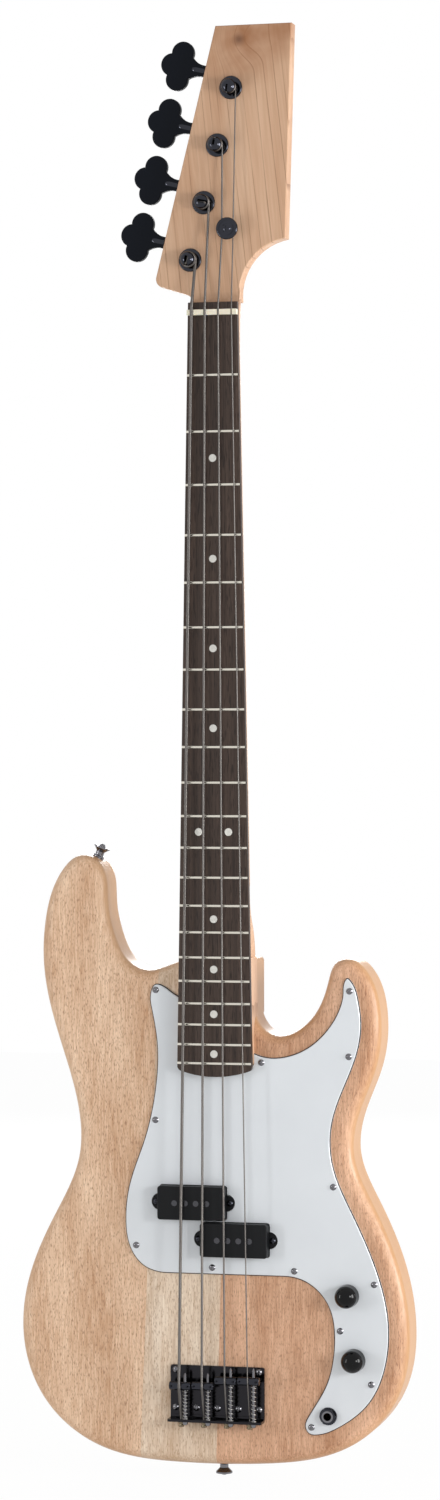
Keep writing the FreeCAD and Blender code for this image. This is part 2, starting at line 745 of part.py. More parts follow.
def heel_wire(gap, top_z, end_z):
    low, top = half_width(end_z) + gap, half_width(top_z) + gap
    corners = [Vector(-low, 0, end_z), Vector(low, 0, end_z), Vector(top, 0, top_z), Vector(-top, 0, top_z)]
    return Part.Wire(rounded_path(corners, [BOARD_CORNER, BOARD_CORNER, 0, 0], True))


def headstock():
    along, outward = tuner_frame()
    edge = post_place(0) + outward * HEAD_EDGE_OFFSET
    low = edge - along * HEAD_RUN_BELOW
    high = edge + along * HEAD_RUN_ABOVE
    w = half_width(BOARD_PAST_NUT) - HEAD_ROOT_INSET
    root_z = BOARD_PAST_NUT + 1
    root = Vector(w, 0, root_z)
    horn = Vector(HEAD_HORN_X, 0, HEAD_HORN_Z)
    corners = [root, Vector(-w, 0, root_z), Vector(-w, 0, BOARD_PAST_NUT + HEAD_SHOULDER_RISE), low, high,
               Vector(high.x + HEAD_TOP_WIDTH, 0, high.z), horn]
    edges = rounded_path(corners, [0, 0, HEAD_SHOULDER_RISE * 0.85, HEAD_CORNER, 0, 0, 0])
    hollow = (horn + root) * 0.5 + Vector(-0.15, 0, 0.137) * (horn - root).Length
    edges.append(Part.Arc(horn, hollow, root).toShape())
    solid = plate(Part.Wire(edges), HEAD_DROP, HEAD_BACK)
    rims = [e for e in solid.Edges if e.BoundBox.YLength < 0.01 and e.BoundBox.ZMax > root_z + 0.1]
    return solid.makeFillet(HEAD_EDGE_ROUND, rims)


def head_clearance():
    """The wood taken off in front of the headstock's face, with its hollow curve up to the board."""
    rise = math.acos((HEAD_SCOOP - HEAD_DROP) / HEAD_SCOOP)
    flat_z = BOARD_PAST_NUT + HEAD_SCOOP * math.sin(rise)
    centre_y = HEAD_DROP - HEAD_SCOOP
    crest = Vector(0, centre_y + HEAD_SCOOP * math.cos(rise / 2), flat_z - HEAD_SCOOP * math.sin(rise / 2))
    start = Vector(0, 0, BOARD_PAST_NUT)
    stop = Vector(0, HEAD_DROP, flat_z)
    beyond = [Vector(0, HEAD_DROP, FAR), Vector(0, -HEAD_DROP, FAR),
              Vector(0, -HEAD_DROP, BOARD_PAST_NUT), start]
    edges = [Part.Arc(start, crest, stop).toShape(), line(stop, beyond[0])]
    edges += [line(beyond[i], beyond[i + 1]) for i in range(3)]
    face = Part.Face(Part.Wire(edges))
    face.translate(Vector(-FAR, 0, 0))
    return face.extrude(Vector(2 * FAR, 0, 0))


def neck_screw_places():
    return [(sx * NECK_SCREW_X, PLATE_Z + sz * NECK_SCREW_Z) for sx in (-1, 1) for sz in (-1, 1)]


def truss_channel():
    w = TRUSS_WIDTH / 2
    return block(-w, w, 0, TRUSS_DEPTH, -HEEL_LENGTH, -TRUSS_START)


def neck():
    heel = plate(heel_wire(0, -HEEL_START, -HEEL_LENGTH), 0, HEEL_DEPTH)
    shafts = neck_shaft()
    solid = shafts[0].fuse(shafts[1:] + [heel, headstock()])
    holes = [head_clearance(), truss_channel()]
    for index in range(len(STRINGS)):
        p = post_place(index)
        holes.append(cylinder(Vector(p.x, 0, p.z), BACKWARD, FERRULE_BARREL + WOOD_SCREW_GAP, HEAD_BACK + 1))
        for x, z in tuner_screw_places(index):
            start = Vector(x, HEAD_BACK - TUNER_SCREW_LENGTH, z)
            holes.append(cylinder(start, BACKWARD, TUNER_SCREW_RADIUS + WOOD_SCREW_GAP, FAR))
    tree = Vector(TREE_X, HEAD_DROP - 1, TREE_Z)
    holes.append(cylinder(tree, BACKWARD, TREE_SCREW_RADIUS + WOOD_SCREW_GAP, HEAD_THICKNESS * 0.8))
    for x, z in neck_screw_places():
        start = Vector(x, HEEL_DEPTH - NECK_SCREW_REACH - 1, z)
        holes.append(cylinder(start, BACKWARD, NECK_SCREW_RADIUS + WOOD_SCREW_GAP, FAR))
    return solid.cut(holes).removeSplitter()


def truss_rod():
    """Two bars side by side in depth, held together by a block at each end."""
    reach = TRUSS_BAR_RADIUS + TRUSS_GAP
    low = -HEEL_LENGTH + TRUSS_NUT_LENGTH + TRUSS_GAP
    high = -TRUSS_START - TRUSS_GAP
    w = TRUSS_WIDTH / 2 - TRUSS_GAP
    block_length = 2 * TRUSS_WIDTH
    depth = TRUSS_DEPTH - TRUSS_GAP
    bars = [cylinder(Vector(0, y, low), UP, TRUSS_BAR_RADIUS, high - low) for y in (reach, depth - reach)]
    ends = [block(-w, w, TRUSS_GAP, depth, z, z + block_length) for z in (low, high - block_length)]
    return bars[0].fuse([bars[1]] + ends)


def truss_nut():
    y = TRUSS_DEPTH - TRUSS_GAP - TRUSS_NUT_RADIUS
    start = Vector(0, y, -HEEL_LENGTH)
    body = cylinder(start, UP, TRUSS_NUT_RADIUS, TRUSS_NUT_LENGTH)
    socket = stand(hexagon(2 * TRUSS_SOCKET, TRUSS_NUT_LENGTH * 0.6), start, UP)
    return body.cut(socket)


# Tuning machines, made about the post in a frame of outward, backward and downward
def tuner_placement(index):
    along, outward = tuner_frame()
    return FreeCAD.Placement(post_place(index), FreeCAD.Rotation(outward, BACKWARD, along * -1, "ZXY"))


def place_tuner(shape, index):
    placed = shape.copy()
    placed.Placement = tuner_placement(index).multiply(shape.Placement)
    return placed


GEAR_RADIUS = GEAR_TEETH * GEAR_MODULE / 2
WORM_LEAD = math.pi * GEAR_MODULE
WORM_OFFSET = GEAR_RADIUS + WORM_PITCH_RADIUS
WORM_Y = HEAD_BACK + TUNER_PLATE_THICKNESS + WORM_HEIGHT
TOOTH_REACH = 0.75 * GEAR_MODULE
TOOTH_ROOT = TOOTH_REACH + MESH_GAP
TOOTH_THICKNESS = (WORM_LEAD - 2 * MESH_BACKLASH) / 2


def tuner_screw_places(index):
    placement = tuner_placement(index)
    dx = TUNER_PLATE_ACROSS / 2 - TUNER_SCREW_INSET
    dz = TUNER_PLATE_ALONG / 2 - TUNER_SCREW_INSET
    corners = [Vector(TUNER_PLATE_SHIFT + sx * dx, 0, sz * dz) for sx in (-1, 1) for sz in (-1, 1)]
    return [(p.x, p.z) for p in (placement.multVec(c) for c in corners)]


def tuner_plate():
    outline = rounded_rectangle(TUNER_PLATE_SHIFT, 0, TUNER_PLATE_ACROSS, TUNER_PLATE_ALONG,
                                TUNER_SCREW_INSET)
    back = HEAD_BACK + TUNER_PLATE_THICKNESS
    solid = plate(outline, HEAD_BACK, back)
    worm_end = WORM_TURNS * WORM_LEAD / 2 + MESH_GAP
    lugs = []
    for x in (-worm_end - LUG_THICKNESS, worm_end):
        z0 = -WORM_OFFSET - LUG_WIDTH / 2
        lugs.append(block(x, x + LUG_THICKNESS, back, WORM_Y + LUG_WIDTH / 2, z0, z0 + LUG_WIDTH))
    solid = solid.fuse(lugs)
    axle = cylinder(Vector(-FAR, WORM_Y, -WORM_OFFSET), Vector(1, 0, 0), WORM_SHAFT_RADIUS + RUN_GAP, 2 * FAR)
    bore = cylinder(Vector(0, 0, 0), BACKWARD, POST_RADIUS + RUN_GAP, FAR)
    dx = TUNER_PLATE_ACROSS / 2 - TUNER_SCREW_INSET
    dz = TUNER_PLATE_ALONG / 2 - TUNER_SCREW_INSET
    middles = [Vector(TUNER_PLATE_SHIFT + sx * dx, 0, sz * dz) for sx in (-1, 1) for sz in (-1, 1)]
    screws = [cylinder(middle, BACKWARD, TUNER_SCREW_RADIUS + RUN_GAP, FAR) for middle in middles]
    return solid.cut([axle, bore] + screws)


def ferrule():
    flange = cylinder(Vector(0, FERRULE_TOP, 0), BACKWARD, FERRULE_RADIUS, FERRULE_HEIGHT)
    rim = [e for e in flange.Edges if e.BoundBox.YMax < FERRULE_TOP + 0.01 and e.BoundBox.XLength > 1]
    flange = flange.makeFillet(FERRULE_HEIGHT * 0.6, rim)
    barrel = cylinder(Vector(0, HEAD_DROP, 0), BACKWARD, FERRULE_BARREL, FERRULE_DEPTH)
    return flange.fuse(barrel).cut(cylinder(Vector(0, FERRULE_TOP, 0), BACKWARD, POST_RADIUS + RUN_GAP, FAR))


def post():
    """The post's bearing, waist and domed head; the gear's seat is the flat at its foot."""
    waist_top = FERRULE_TOP - POST_WAIST_HEIGHT
    top = waist_top - POST_DOME_HEIGHT
    foot = WORM_Y - GEAR_THICKNESS / 2
    bearing = cylinder(Vector(0, FERRULE_TOP, 0), BACKWARD, POST_RADIUS, foot - FERRULE_TOP)
    waist = cylinder(Vector(0, waist_top, 0), BACKWARD, POST_WAIST, POST_WAIST_HEIGHT)
    lens = (POST_RADIUS ** 2 + POST_DOME_HEIGHT ** 2) / (2 * POST_DOME_HEIGHT)
    dome = Part.makeSphere(lens, Vector(0, top + lens, 0))
    dome = dome.common(cylinder(Vector(0, top, 0), BACKWARD, POST_RADIUS, POST_DOME_HEIGHT))
    return bearing.fuse([waist, dome])


def gear():
    """A twenty-tooth gear, its teeth leaning to follow the worm's thread, and the screw that holds it."""
    tip, root = GEAR_RADIUS + TOOTH_REACH, GEAR_RADIUS - TOOTH_ROOT
    slant = math.tan(math.radians(20))
    half_tip = (TOOTH_THICKNESS / 2 - TOOTH_REACH * slant) / tip
    half_root = (TOOTH_THICKNESS / 2 + TOOTH_ROOT * slant) / root
    corners = []
    for tooth in range(GEAR_TEETH):
        middle = -math.pi / 2 + tooth * 2 * math.pi / GEAR_TEETH
        for r, a in ((root, -half_root), (tip, -half_tip), (tip, half_tip), (root, half_root)):
            corners.append(Vector(r * math.cos(middle + a), 0, r * math.sin(middle + a)))
    wire = Part.makePolygon(corners + corners[:1])
    twist = math.degrees(WORM_LEAD / (2 * math.pi * WORM_PITCH_RADIUS * GEAR_RADIUS) * GEAR_THICKNESS)
    ends = []
    for side in (-0.5, 0.5):
        end = wire.copy()
        end.rotate(Vector(0, 0, 0), BACKWARD, side * twist)
        end.translate(Vector(0, WORM_Y + side * GEAR_THICKNESS, 0))
        ends.append(end)
    wheel = Part.makeLoft(ends, True, True)
    face = WORM_Y + GEAR_THICKNESS / 2
    screw = cylinder(Vector(0, face, 0), BACKWARD, POST_RADIUS * 0.7, GEAR_THICKNESS * 0.5)
    slot = block(-POST_RADIUS, POST_RADIUS, face + GEAR_THICKNESS * 0.2, face + GEAR_THICKNESS, -0.4, 0.4)
    return [wheel, screw.cut(slot)]


def tuner_post(index):
    """Post with its head slotted for the string's tail, gear and gear screw."""
    _, diameter, _ = STRINGS[index]
    _, coil, inward = string_path(index)
    solid = place_tuner(post(), index)
    tail = coil[-1]
    half_slot = diameter / 2 + WRAP_GAP * 0.9
    side = Vector(inward.z, 0, -inward.x) * half_slot
    stop = tail.valueAt(tail.LastParameter) + inward * WRAP_GAP
    mouth = stop - inward * (3 * POST_RADIUS)
    corners = [mouth - side, mouth + side, stop + side, stop - side]
    slot = Part.Face(Part.makePolygon(corners + corners[:1])).extrude(Vector(0, -FAR, 0))
    round_floor = cylinder(mouth, inward, half_slot, (stop - mouth).Length)
    channel = pipe(coil[-3:], diameter / 2 + WRAP_GAP * 0.7)
    return [solid.cut(channel).cut([slot, round_floor])] + [place_tuner(s, index) for s in gear()]


def worm():
    """A right-handed single-start thread, swept with its own twist."""
    core = WORM_OFFSET - GEAR_RADIUS - TOOTH_REACH - MESH_GAP
    outer = WORM_OFFSET - GEAR_RADIUS + TOOTH_ROOT - MESH_GAP
    slant = math.tan(math.radians(20))
    half_core = TOOTH_THICKNESS / 2 + (WORM_PITCH_RADIUS - core) * slant
    half_outer = TOOTH_THICKNESS / 2 - (outer - WORM_PITCH_RADIUS) * slant
    a_core, a_outer = 2 * math.pi * half_core / WORM_LEAD, 2 * math.pi * half_outer / WORM_LEAD

    def place(r, a):
        return Vector(r * math.cos(a), r * math.sin(a), 0)

    def flank(sign):
        steps = 6
        curve = Part.BSplineCurve()
        shares = [i / steps for i in range(steps + 1)]
        curve.interpolate([place(outer + (core - outer) * f, sign * (a_outer + (a_core - a_outer) * f))
                           for f in shares])
        return curve.toShape()

    crest = Part.Arc(place(outer, -a_outer), place(outer, 0), place(outer, a_outer)).toShape()
    floor = Part.Arc(place(core, a_core), place(core, math.pi), place(core, -a_core)).toShape()
    length = WORM_TURNS * WORM_LEAD
    sweep = Part.BRepOffsetAPI.MakePipeShell(Part.Wire([line(Vector(0, 0, 0), UP * length)]))
    sweep.setAuxiliarySpine(Part.Wire(Part.makeHelix(WORM_LEAD, length, WORM_PITCH_RADIUS).Edges), True, 0)
    sweep.add(Part.Wire([crest, flank(1), floor, flank(-1)]))
    sweep.build()
    sweep.makeSolid()
    solid = sweep.shape()
    turn = FreeCAD.Rotation(UP, FORWARD, Vector(1, 0, 0), "ZXY")
    solid.Placement = FreeCAD.Placement(Vector(-length / 2, WORM_Y, -WORM_OFFSET), turn)
    return solid


def key():
    """A clover-leaf key on its shaft, with the worm pressed on."""
    def disc(x, z):
        return cylinder(Vector(x, 0, z), BACKWARD, KEY_LOBE_RADIUS, KEY_THICKNESS)

    lobes = [disc(KEY_LOBE_IN, -KEY_LOBE_SPREAD), disc(KEY_LOBE_IN, KEY_LOBE_SPREAD)]
    flare_x = KEY_LOBE_IN - KEY_LOBE_RADIUS * 0.55
    flare_z = KEY_LOBE_SPREAD + KEY_LOBE_RADIUS * 0.5
    stem = [Vector(KEY_STEM_START, 0, s * KEY_STEM_HALF) for s in (1, -1)]
    wide = [Vector(flare_x, 0, s * flare_z) for s in (1, -1)]
    inset = [Vector(KEY_STEM_START * 0.35 + flare_x * 0.65, 0, s * (KEY_STEM_HALF + 1.6)) for s in (1, -1)]
    edges = [Part.Arc(stem[0], inset[0], wide[0]).toShape(), line(wide[0], wide[1]),
             Part.Arc(wide[1], inset[1], stem[1]).toShape(), line(stem[1], stem[0])]
    flare = plate(Part.Wire(edges), 0, KEY_THICKNESS)
    half = WORM_TURNS * WORM_LEAD / 2
    far_end = half + LUG_THICKNESS + 2 * MESH_GAP
    ahead = Vector(1, 0, 0)
    shaft = cylinder(Vector(half, KEY_THICKNESS / 2, 0), ahead, WORM_SHAFT_RADIUS, KEY_LOBE_IN - half)
    leaf = disc(KEY_LOBE_OUT, 0).fuse(lobes + [flare, disc(KEY_LOBE_IN - 2, 0), shaft]).removeSplitter()
    rims = [e for e in leaf.Edges if e.BoundBox.YLength < 0.01 and e.BoundBox.XMax > KEY_STEM_START - 0.1]
    leaf = leaf.makeFillet(KEY_EDGE_ROUND, rims)
    leaf.translate(Vector(0, WORM_Y - KEY_THICKNESS / 2, -WORM_OFFSET))
    inner = cylinder(Vector(-far_end, WORM_Y, -WORM_OFFSET), ahead, WORM_SHAFT_RADIUS, far_end - half)
    return [leaf, worm(), inner]


def string_tree():
    cap = cylinder(Vector(0, TREE_UNDER - TREE_CAP, 0), BACKWARD, TREE_RADIUS, TREE_CAP)
    rim = [e for e in cap.Edges if e.BoundBox.YMax < TREE_UNDER - TREE_CAP + 0.01 and e.BoundBox.XLength > 1]
    cap = cap.makeFillet(TREE_CAP * 0.6, rim)
    stem = cylinder(Vector(0, TREE_UNDER, 0), BACKWARD, TREE_POST_RADIUS, TREE_HEIGHT)
    face = Vector(0, TREE_UNDER - TREE_CAP, 0)
    bore = cylinder(face, BACKWARD, TREE_SCREW_RADIUS + RUN_GAP, FAR)
    groove = cylinder(face, BACKWARD, TREE_GROOVE_RADIUS + TREE_GROOVE_WIDTH / 2, TREE_CAP * 0.25)
    groove = groove.cut(cylinder(face, BACKWARD, TREE_GROOVE_RADIUS - TREE_GROOVE_WIDTH / 2, TREE_CAP))
    solid = cap.fuse(stem).cut([bore, groove])
    solid.translate(Vector(TREE_X, 0, TREE_Z))
    length = TREE_CAP + TREE_HEIGHT + HEAD_THICKNESS * 0.7
    screw = dome_screw(TREE_SCREW_HEAD, 1.6, TREE_SCREW_RADIUS, length)
    return [solid, stand(screw, Vector(TREE_X, TREE_UNDER - TREE_CAP, TREE_Z), FORWARD)]


# Bridge
def bridge_screw_places():
    rear = [((i - 2) * BRIDGE_REAR_SPACING, BRIDGE_REAR_SCREW_Z) for i in range(5)]
    front = [(s * BRIDGE_FRONT_SPACING / 2, BRIDGE_FRONT_SCREW_Z) for s in (-1, 1)]
    return rear + front


def bridge_plate():
    """A bent plate: a flat base and a lip at the tail with holes for strings and screws."""
    w = BRIDGE_WIDTH / 2
    top = BODY_FACE - BRIDGE_LIP_HEIGHT
    bend = 2 * BRIDGE_THICKNESS
    steps = [(BODY_FACE, BRIDGE_TOP_Z), (BODY_FACE, BRIDGE_END_Z), (top, BRIDGE_END_Z), (top, LIP_INNER_Z),
             (BRIDGE_FACE, LIP_INNER_Z), (BRIDGE_FACE, BRIDGE_TOP_Z)]
    section = [Vector(-w, y, z) for y, z in steps]
    wire = Part.Wire(rounded_path(section, [0, bend, 0, 0, bend - BRIDGE_THICKNESS, 0], True))
    solid = Part.Face(wire).extrude(Vector(BRIDGE_WIDTH, 0, 0))
    front = [e for e in solid.Edges if abs(e.CenterOfMass.z - BRIDGE_TOP_Z) < 0.01 and e.BoundBox.YLength > 1]
    tips = [e for e in solid.Edges if abs(e.CenterOfMass.y - top) < 0.01 and e.BoundBox.ZLength > 1]
    solid = solid.makeFillet(BRIDGE_CORNER, front + tips)
    holes = [cylinder(Vector(x, 0, z), BACKWARD, BRIDGE_SCREW_RADIUS + RUN_GAP, FAR)
             for x, z in bridge_screw_places()]
    for index, (_, diameter, _) in enumerate(STRINGS):
        x = string_x(index, 3 * STRING_SPACING)
        low = BRIDGE_END_Z - BRIDGE_THICKNESS
        lip = 3 * BRIDGE_THICKNESS
        string_hole = Vector(x, BRIDGE_FACE - LIP_STRING_HEIGHT, low)
        holes.append(cylinder(string_hole, UP, diameter / 2 + WRAP_GAP, lip))
        screw_hole = Vector(x + INTONATION_OFFSET, SADDLE_AXIS_Y, low)
        holes.append(cylinder(screw_hole, UP, INTONATION_RADIUS + RUN_GAP, lip))
    return solid.cut(holes)


def saddle(index):
    """A barrel saddle standing on its two height screws."""
    x, z = string_x(index, 3 * STRING_SPACING), saddle_z(index)
    start = Vector(x - SADDLE_LENGTH / 2, SADDLE_AXIS_Y, z)
    barrel = cylinder(start, Vector(1, 0, 0), SADDLE_RADIUS, SADDLE_LENGTH)
    rims = [e for e in barrel.Edges if e.BoundBox.XLength < 0.01]
    barrel = barrel.makeFillet(SADDLE_RADIUS * 0.15, rims)
    tap = Vector(x + INTONATION_OFFSET, SADDLE_AXIS_Y, z - 2 * SADDLE_RADIUS)
    barrel = barrel.cut(cylinder(tap, UP, INTONATION_RADIUS + RUN_GAP, 4 * SADDLE_RADIUS))
    screws = []
    foot = BRIDGE_FACE - RUN_GAP
    head = SADDLE_AXIS_Y - SADDLE_RADIUS * 0.8
    for side in (-1, 1):
        sx = x + side * SADDLE_SCREW_SPREAD / 2
        hole = cylinder(Vector(sx, foot, z), FORWARD, SADDLE_SCREW_RADIUS + SEAT_GAP, FAR)
        barrel = barrel.cut(hole)
        screw = cylinder(Vector(sx, foot, z), FORWARD, SADDLE_SCREW_RADIUS, foot - head)
        socket = stand(hexagon(SADDLE_SCREW_RADIUS, SADDLE_RADIUS), Vector(sx, head, z), BACKWARD)
        screws.append(screw.cut(socket))
    return [barrel] + screws


def intonation_screw(index):
    x = string_x(index, 3 * STRING_SPACING) + INTONATION_OFFSET
    seat = BRIDGE_END_Z - RUN_GAP
    end = saddle_z(index) + SADDLE_RADIUS + SADDLE_TRAVEL + INTONATION_TIP
    base = Vector(x, SADDLE_AXIS_Y, seat)
    screw = dome_screw(INTONATION_HEAD, INTONATION_HEAD_LENGTH, INTONATION_RADIUS, end - seat)
    return stand(screw, base, Vector(0, 0, -1))


def spring_path(index):
    """A coil spring between the lip and the saddle, its ends turned square to both."""
    centre = Vector(string_x(index, 3 * STRING_SPACING) + INTONATION_OFFSET, SADDLE_AXIS_Y, 0)
    low = LIP_INNER_Z + SEAT_GAP
    high = saddle_z(index) - SADDLE_RADIUS - SEAT_GAP
    lead_in = 1.5 * SPRING_WIRE
    coil_low, coil_high = low + SPRING_WIRE + lead_in, high - SPRING_WIRE - lead_in
    pitch = (coil_high - coil_low) / SPRING_TURNS
    climb = math.atan(pitch / (2 * math.pi * SPRING_RADIUS))

    def node(half_turns):
        a = half_turns * math.pi
        rise = coil_low + pitch * half_turns / 2
        place = centre + Vector(SPRING_RADIUS * math.cos(a), SPRING_RADIUS * math.sin(a), rise)
        ahead = Vector(-math.sin(a) * math.cos(climb), math.cos(a) * math.cos(climb), math.sin(climb))
        return place, ahead

    nodes = [node(i) for i in range(2 * SPRING_TURNS + 1)]
    half = Vector(0, SPRING_RADIUS / 2, 0)
    foot = centre + Vector(SPRING_RADIUS, 0, low) - half
    tip = centre + Vector(SPRING_RADIUS, 0, high) + half
    foot_end, tip_start = foot + UP * SPRING_WIRE, tip - UP * SPRING_WIRE
    edges = [line(foot, foot_end)] + biarc(foot_end, UP, *nodes[0])
    for i in range(2 * SPRING_TURNS):
        edges += biarc(*nodes[i], *nodes[i + 1])
    return edges + biarc(*nodes[-1], tip_start, UP) + [line(tip_start, tip)]


def intonation_springs():
    springs = []
    for index, (name, _, _) in enumerate(STRINGS):
        edges = spring_path(index)
        print("spring", name, "self gap", round(self_gap(edges, SPRING_WIRE), 2))
        springs.append(pipe(edges, SPRING_WIRE / 2))
    return springs


# Pickguard and pickups
def guard_wire():
    flat = Vector(-1, 0, 0)
    inward = Vector(2, 0, -1).normalize()
    treble = spline(GUARD_TREBLE, tangents=(inward, flat))
    bass = spline(GUARD_BASS, tangents=(flat, inward))
    ends = [Vector(x, 0, z) for x, z in (GUARD_TREBLE[-1], GUARD_BASS[0], GUARD_BASS[-1], GUARD_TREBLE[0])]
    return Part.Wire([treble.toShape(), line(ends[0], ends[1]), bass.toShape(), line(ends[2], ends[3])])


def pickup_outline(x, z, gap, y0, y1):
    """One half's cover with its two ears, grown by a gap."""
    outline = rounded_rectangle(x, z, PICKUP_WIDTH + 2 * gap, PICKUP_HEIGHT + 2 * gap, PICKUP_CORNER)
    shape = plate(outline, y0, y1)
    ears = [cylinder(Vector(x + s * PICKUP_WIDTH / 2, y0, z), BACKWARD, PICKUP_EAR_RADIUS + gap, y1 - y0)
            for s in (-1, 1)]
    return shape.fuse(ears)


def pickguard():
    sheet = plate(guard_wire(), GUARD_FACE, BODY_FACE)
    rim = [e for e in sheet.Edges if e.BoundBox.YMax < GUARD_FACE + 0.01]
    sheet = sheet.makeChamfer(GUARD_CHAMFER, rim)
    heel = plate(heel_wire(GUARD_NECK_GAP, 0, -HEEL_LENGTH - GUARD_NECK_GAP), GUARD_FACE - 1, BODY_FACE + 1)
    cuts = [heel]
    cuts += [pickup_outline(x, z, GUARD_CUTOUT_GAP, GUARD_FACE - 1, BODY_FACE + 1) for _, x, z in PICKUPS]
    bushes = [(x, z) for _, x, z in POTS] + [(JACK_X, JACK_Z)]
    cuts += [cylinder(Vector(x, 0, z), BACKWARD, BUSH_RADIUS + BUSH_GAP, FAR) for x, z in bushes]
    cuts += [cylinder(Vector(x, 0, z), BACKWARD, GUARD_SCREW_RADIUS + RUN_GAP, FAR) for x, z in GUARD_SCREWS]
    return sheet.cut(cuts)


EAR_FACE = GUARD_FACE - PICKUP_EAR_PROUD
PICKUP_TOP = BODY_FACE - PICKUP_ABOVE_BODY
PICKUP_FOOT = BODY_FACE + PICKUP_BELOW_FACE
PICKUP_CAVITY_FLOOR = BODY_FACE + PICKUP_CAVITY_DEPTH


def pole_places(x):
    return [x + (i - 1.5) * POLE_SPACING for i in range(4)]


def pickup_cover(x, z):
    outer = rounded_rectangle(x, z, PICKUP_WIDTH, PICKUP_HEIGHT, PICKUP_CORNER)
    shell = plate(outer, PICKUP_TOP, PICKUP_FOOT)
    rim = [e for e in shell.Edges if e.BoundBox.YMax < PICKUP_TOP + 0.01]
    shell = shell.makeFillet(PICKUP_CORNER * 0.4, rim)
    middles = [Vector(x + s * PICKUP_WIDTH / 2, EAR_FACE, z) for s in (-1, 1)]
    ears = [cylinder(middle, BACKWARD, PICKUP_EAR_RADIUS, PICKUP_EAR_THICKNESS) for middle in middles]
    inner = rounded_rectangle(x, z, PICKUP_WIDTH - 2 * PICKUP_WALL, PICKUP_HEIGHT - 2 * PICKUP_WALL,
                              PICKUP_CORNER * 0.4)
    hollow = plate(inner, PICKUP_TOP + PICKUP_WALL, PICKUP_FOOT)
    holes = [cylinder(Vector(px, PICKUP_TOP - 1, z), BACKWARD, POLE_RADIUS + RUN_GAP, PICKUP_WALL + 2)
             for px in pole_places(x)]
    for s in (-1, 1):
        start = Vector(x + s * (PICKUP_WIDTH / 2 + PICKUP_SCREW_OFFSET), EAR_FACE - 1, z)
        holes.append(cylinder(start, BACKWARD, PICKUP_SCREW_RADIUS + RUN_GAP, PICKUP_EAR_THICKNESS + 2))
    return shell.fuse(ears).cut([hollow] + holes)


def pickup_coil(x, z):
    """The bobbin's two flanges and the wire wound between them, open for the magnets."""
    low, high = PICKUP_TOP + PICKUP_WALL + COIL_GAP, PICKUP_FOOT - COIL_GAP
    width = PICKUP_WIDTH - 2 * PICKUP_WALL - 2 * COIL_GAP
    height = PICKUP_HEIGHT - 2 * PICKUP_WALL - 2 * COIL_GAP
    flange = rounded_rectangle(x, z, width, height, PICKUP_CORNER * 0.4)
    magnets = [cylinder(Vector(px, low - 1, z), BACKWARD, POLE_RADIUS + RUN_GAP, high - low + 2)
               for px in pole_places(x)]
    ends = pole_places(x)[0], pole_places(x)[-1]
    winding = stadium((ends[0], z), (ends[1], z), COIL_RADIUS,
                      low + FLANGE_THICKNESS, high - FLANGE_THICKNESS)
    layers = [plate(flange, low, low + FLANGE_THICKNESS), winding.removeSplitter(),
              plate(flange, high - FLANGE_THICKNESS, high)]
    return [layer.cut(magnets) for layer in layers]


def pickup_poles(x, z):
    start = PICKUP_TOP - POLE_PROUD
    return [cylinder(Vector(px, start, z), BACKWARD, POLE_RADIUS, PICKUP_FOOT - COIL_GAP - start)
            for px in pole_places(x)]


def pickup_screws(x, z):
    screw = dome_screw(PICKUP_SCREW_HEAD, 1.8, PICKUP_SCREW_RADIUS, PICKUP_SCREW_LENGTH)
    offset = PICKUP_WIDTH / 2 + PICKUP_SCREW_OFFSET
    return [stand(screw, Vector(x + s * offset, EAR_FACE, z), FORWARD) for s in (-1, 1)]


def pickup_pad(x, z):
    pad = rounded_rectangle(x, z, PICKUP_WIDTH - 4 * PICKUP_WALL, PICKUP_HEIGHT / 2, PICKUP_CORNER)
    return plate(pad, PICKUP_FOOT + PAD_GAP, PICKUP_CAVITY_FLOOR)


# Controls
def potentiometer(x, z):
    can = cylinder(Vector(x, BODY_FACE, z), BACKWARD, POT_RADIUS, POT_DEPTH)
    rim = [e for e in can.Edges if e.BoundBox.YMin > BODY_FACE + POT_DEPTH - 0.01 and e.BoundBox.XLength > 1]
    can = can.makeFillet(1.0, rim)
    bush_top = GUARD_FACE - WASHER_THICKNESS - CONTROL_NUT_THICKNESS
    bush = cylinder(Vector(x, bush_top, z), BACKWARD, BUSH_RADIUS, BODY_FACE - bush_top)
    lug_low, lug_high = z - POT_RADIUS - 1.5, z - POT_RADIUS + 1
    lugs = [block(x + dx - 1, x + dx + 1, BODY_FACE + 1.0, BODY_FACE + 1.6, lug_low, lug_high)
            for dx in (-4, 0, 4)]
    bore_depth = BODY_FACE + POT_DEPTH * 0.6 - bush_top
    bore = cylinder(Vector(x, bush_top, z), BACKWARD, SHAFT_RADIUS + RUN_GAP, bore_depth)
    return can.fuse([bush] + lugs).cut(bore)


def control_nuts():
    pieces = []
    for _, x, z in POTS:
        washer = cylinder(Vector(x, GUARD_FACE, z), FORWARD, WASHER_RADIUS, WASHER_THICKNESS)
        hole = cylinder(Vector(x, GUARD_FACE, z), FORWARD, BUSH_RADIUS + SEAT_GAP, WASHER_THICKNESS)
        pieces.append(washer.cut(hole))
        base = Vector(x, GUARD_FACE - WASHER_THICKNESS, z)
        pieces.append(hexagon_nut(CONTROL_NUT_FLATS, CONTROL_NUT_THICKNESS, BUSH_RADIUS + SEAT_GAP, base,
                                  FORWARD))
    return pieces


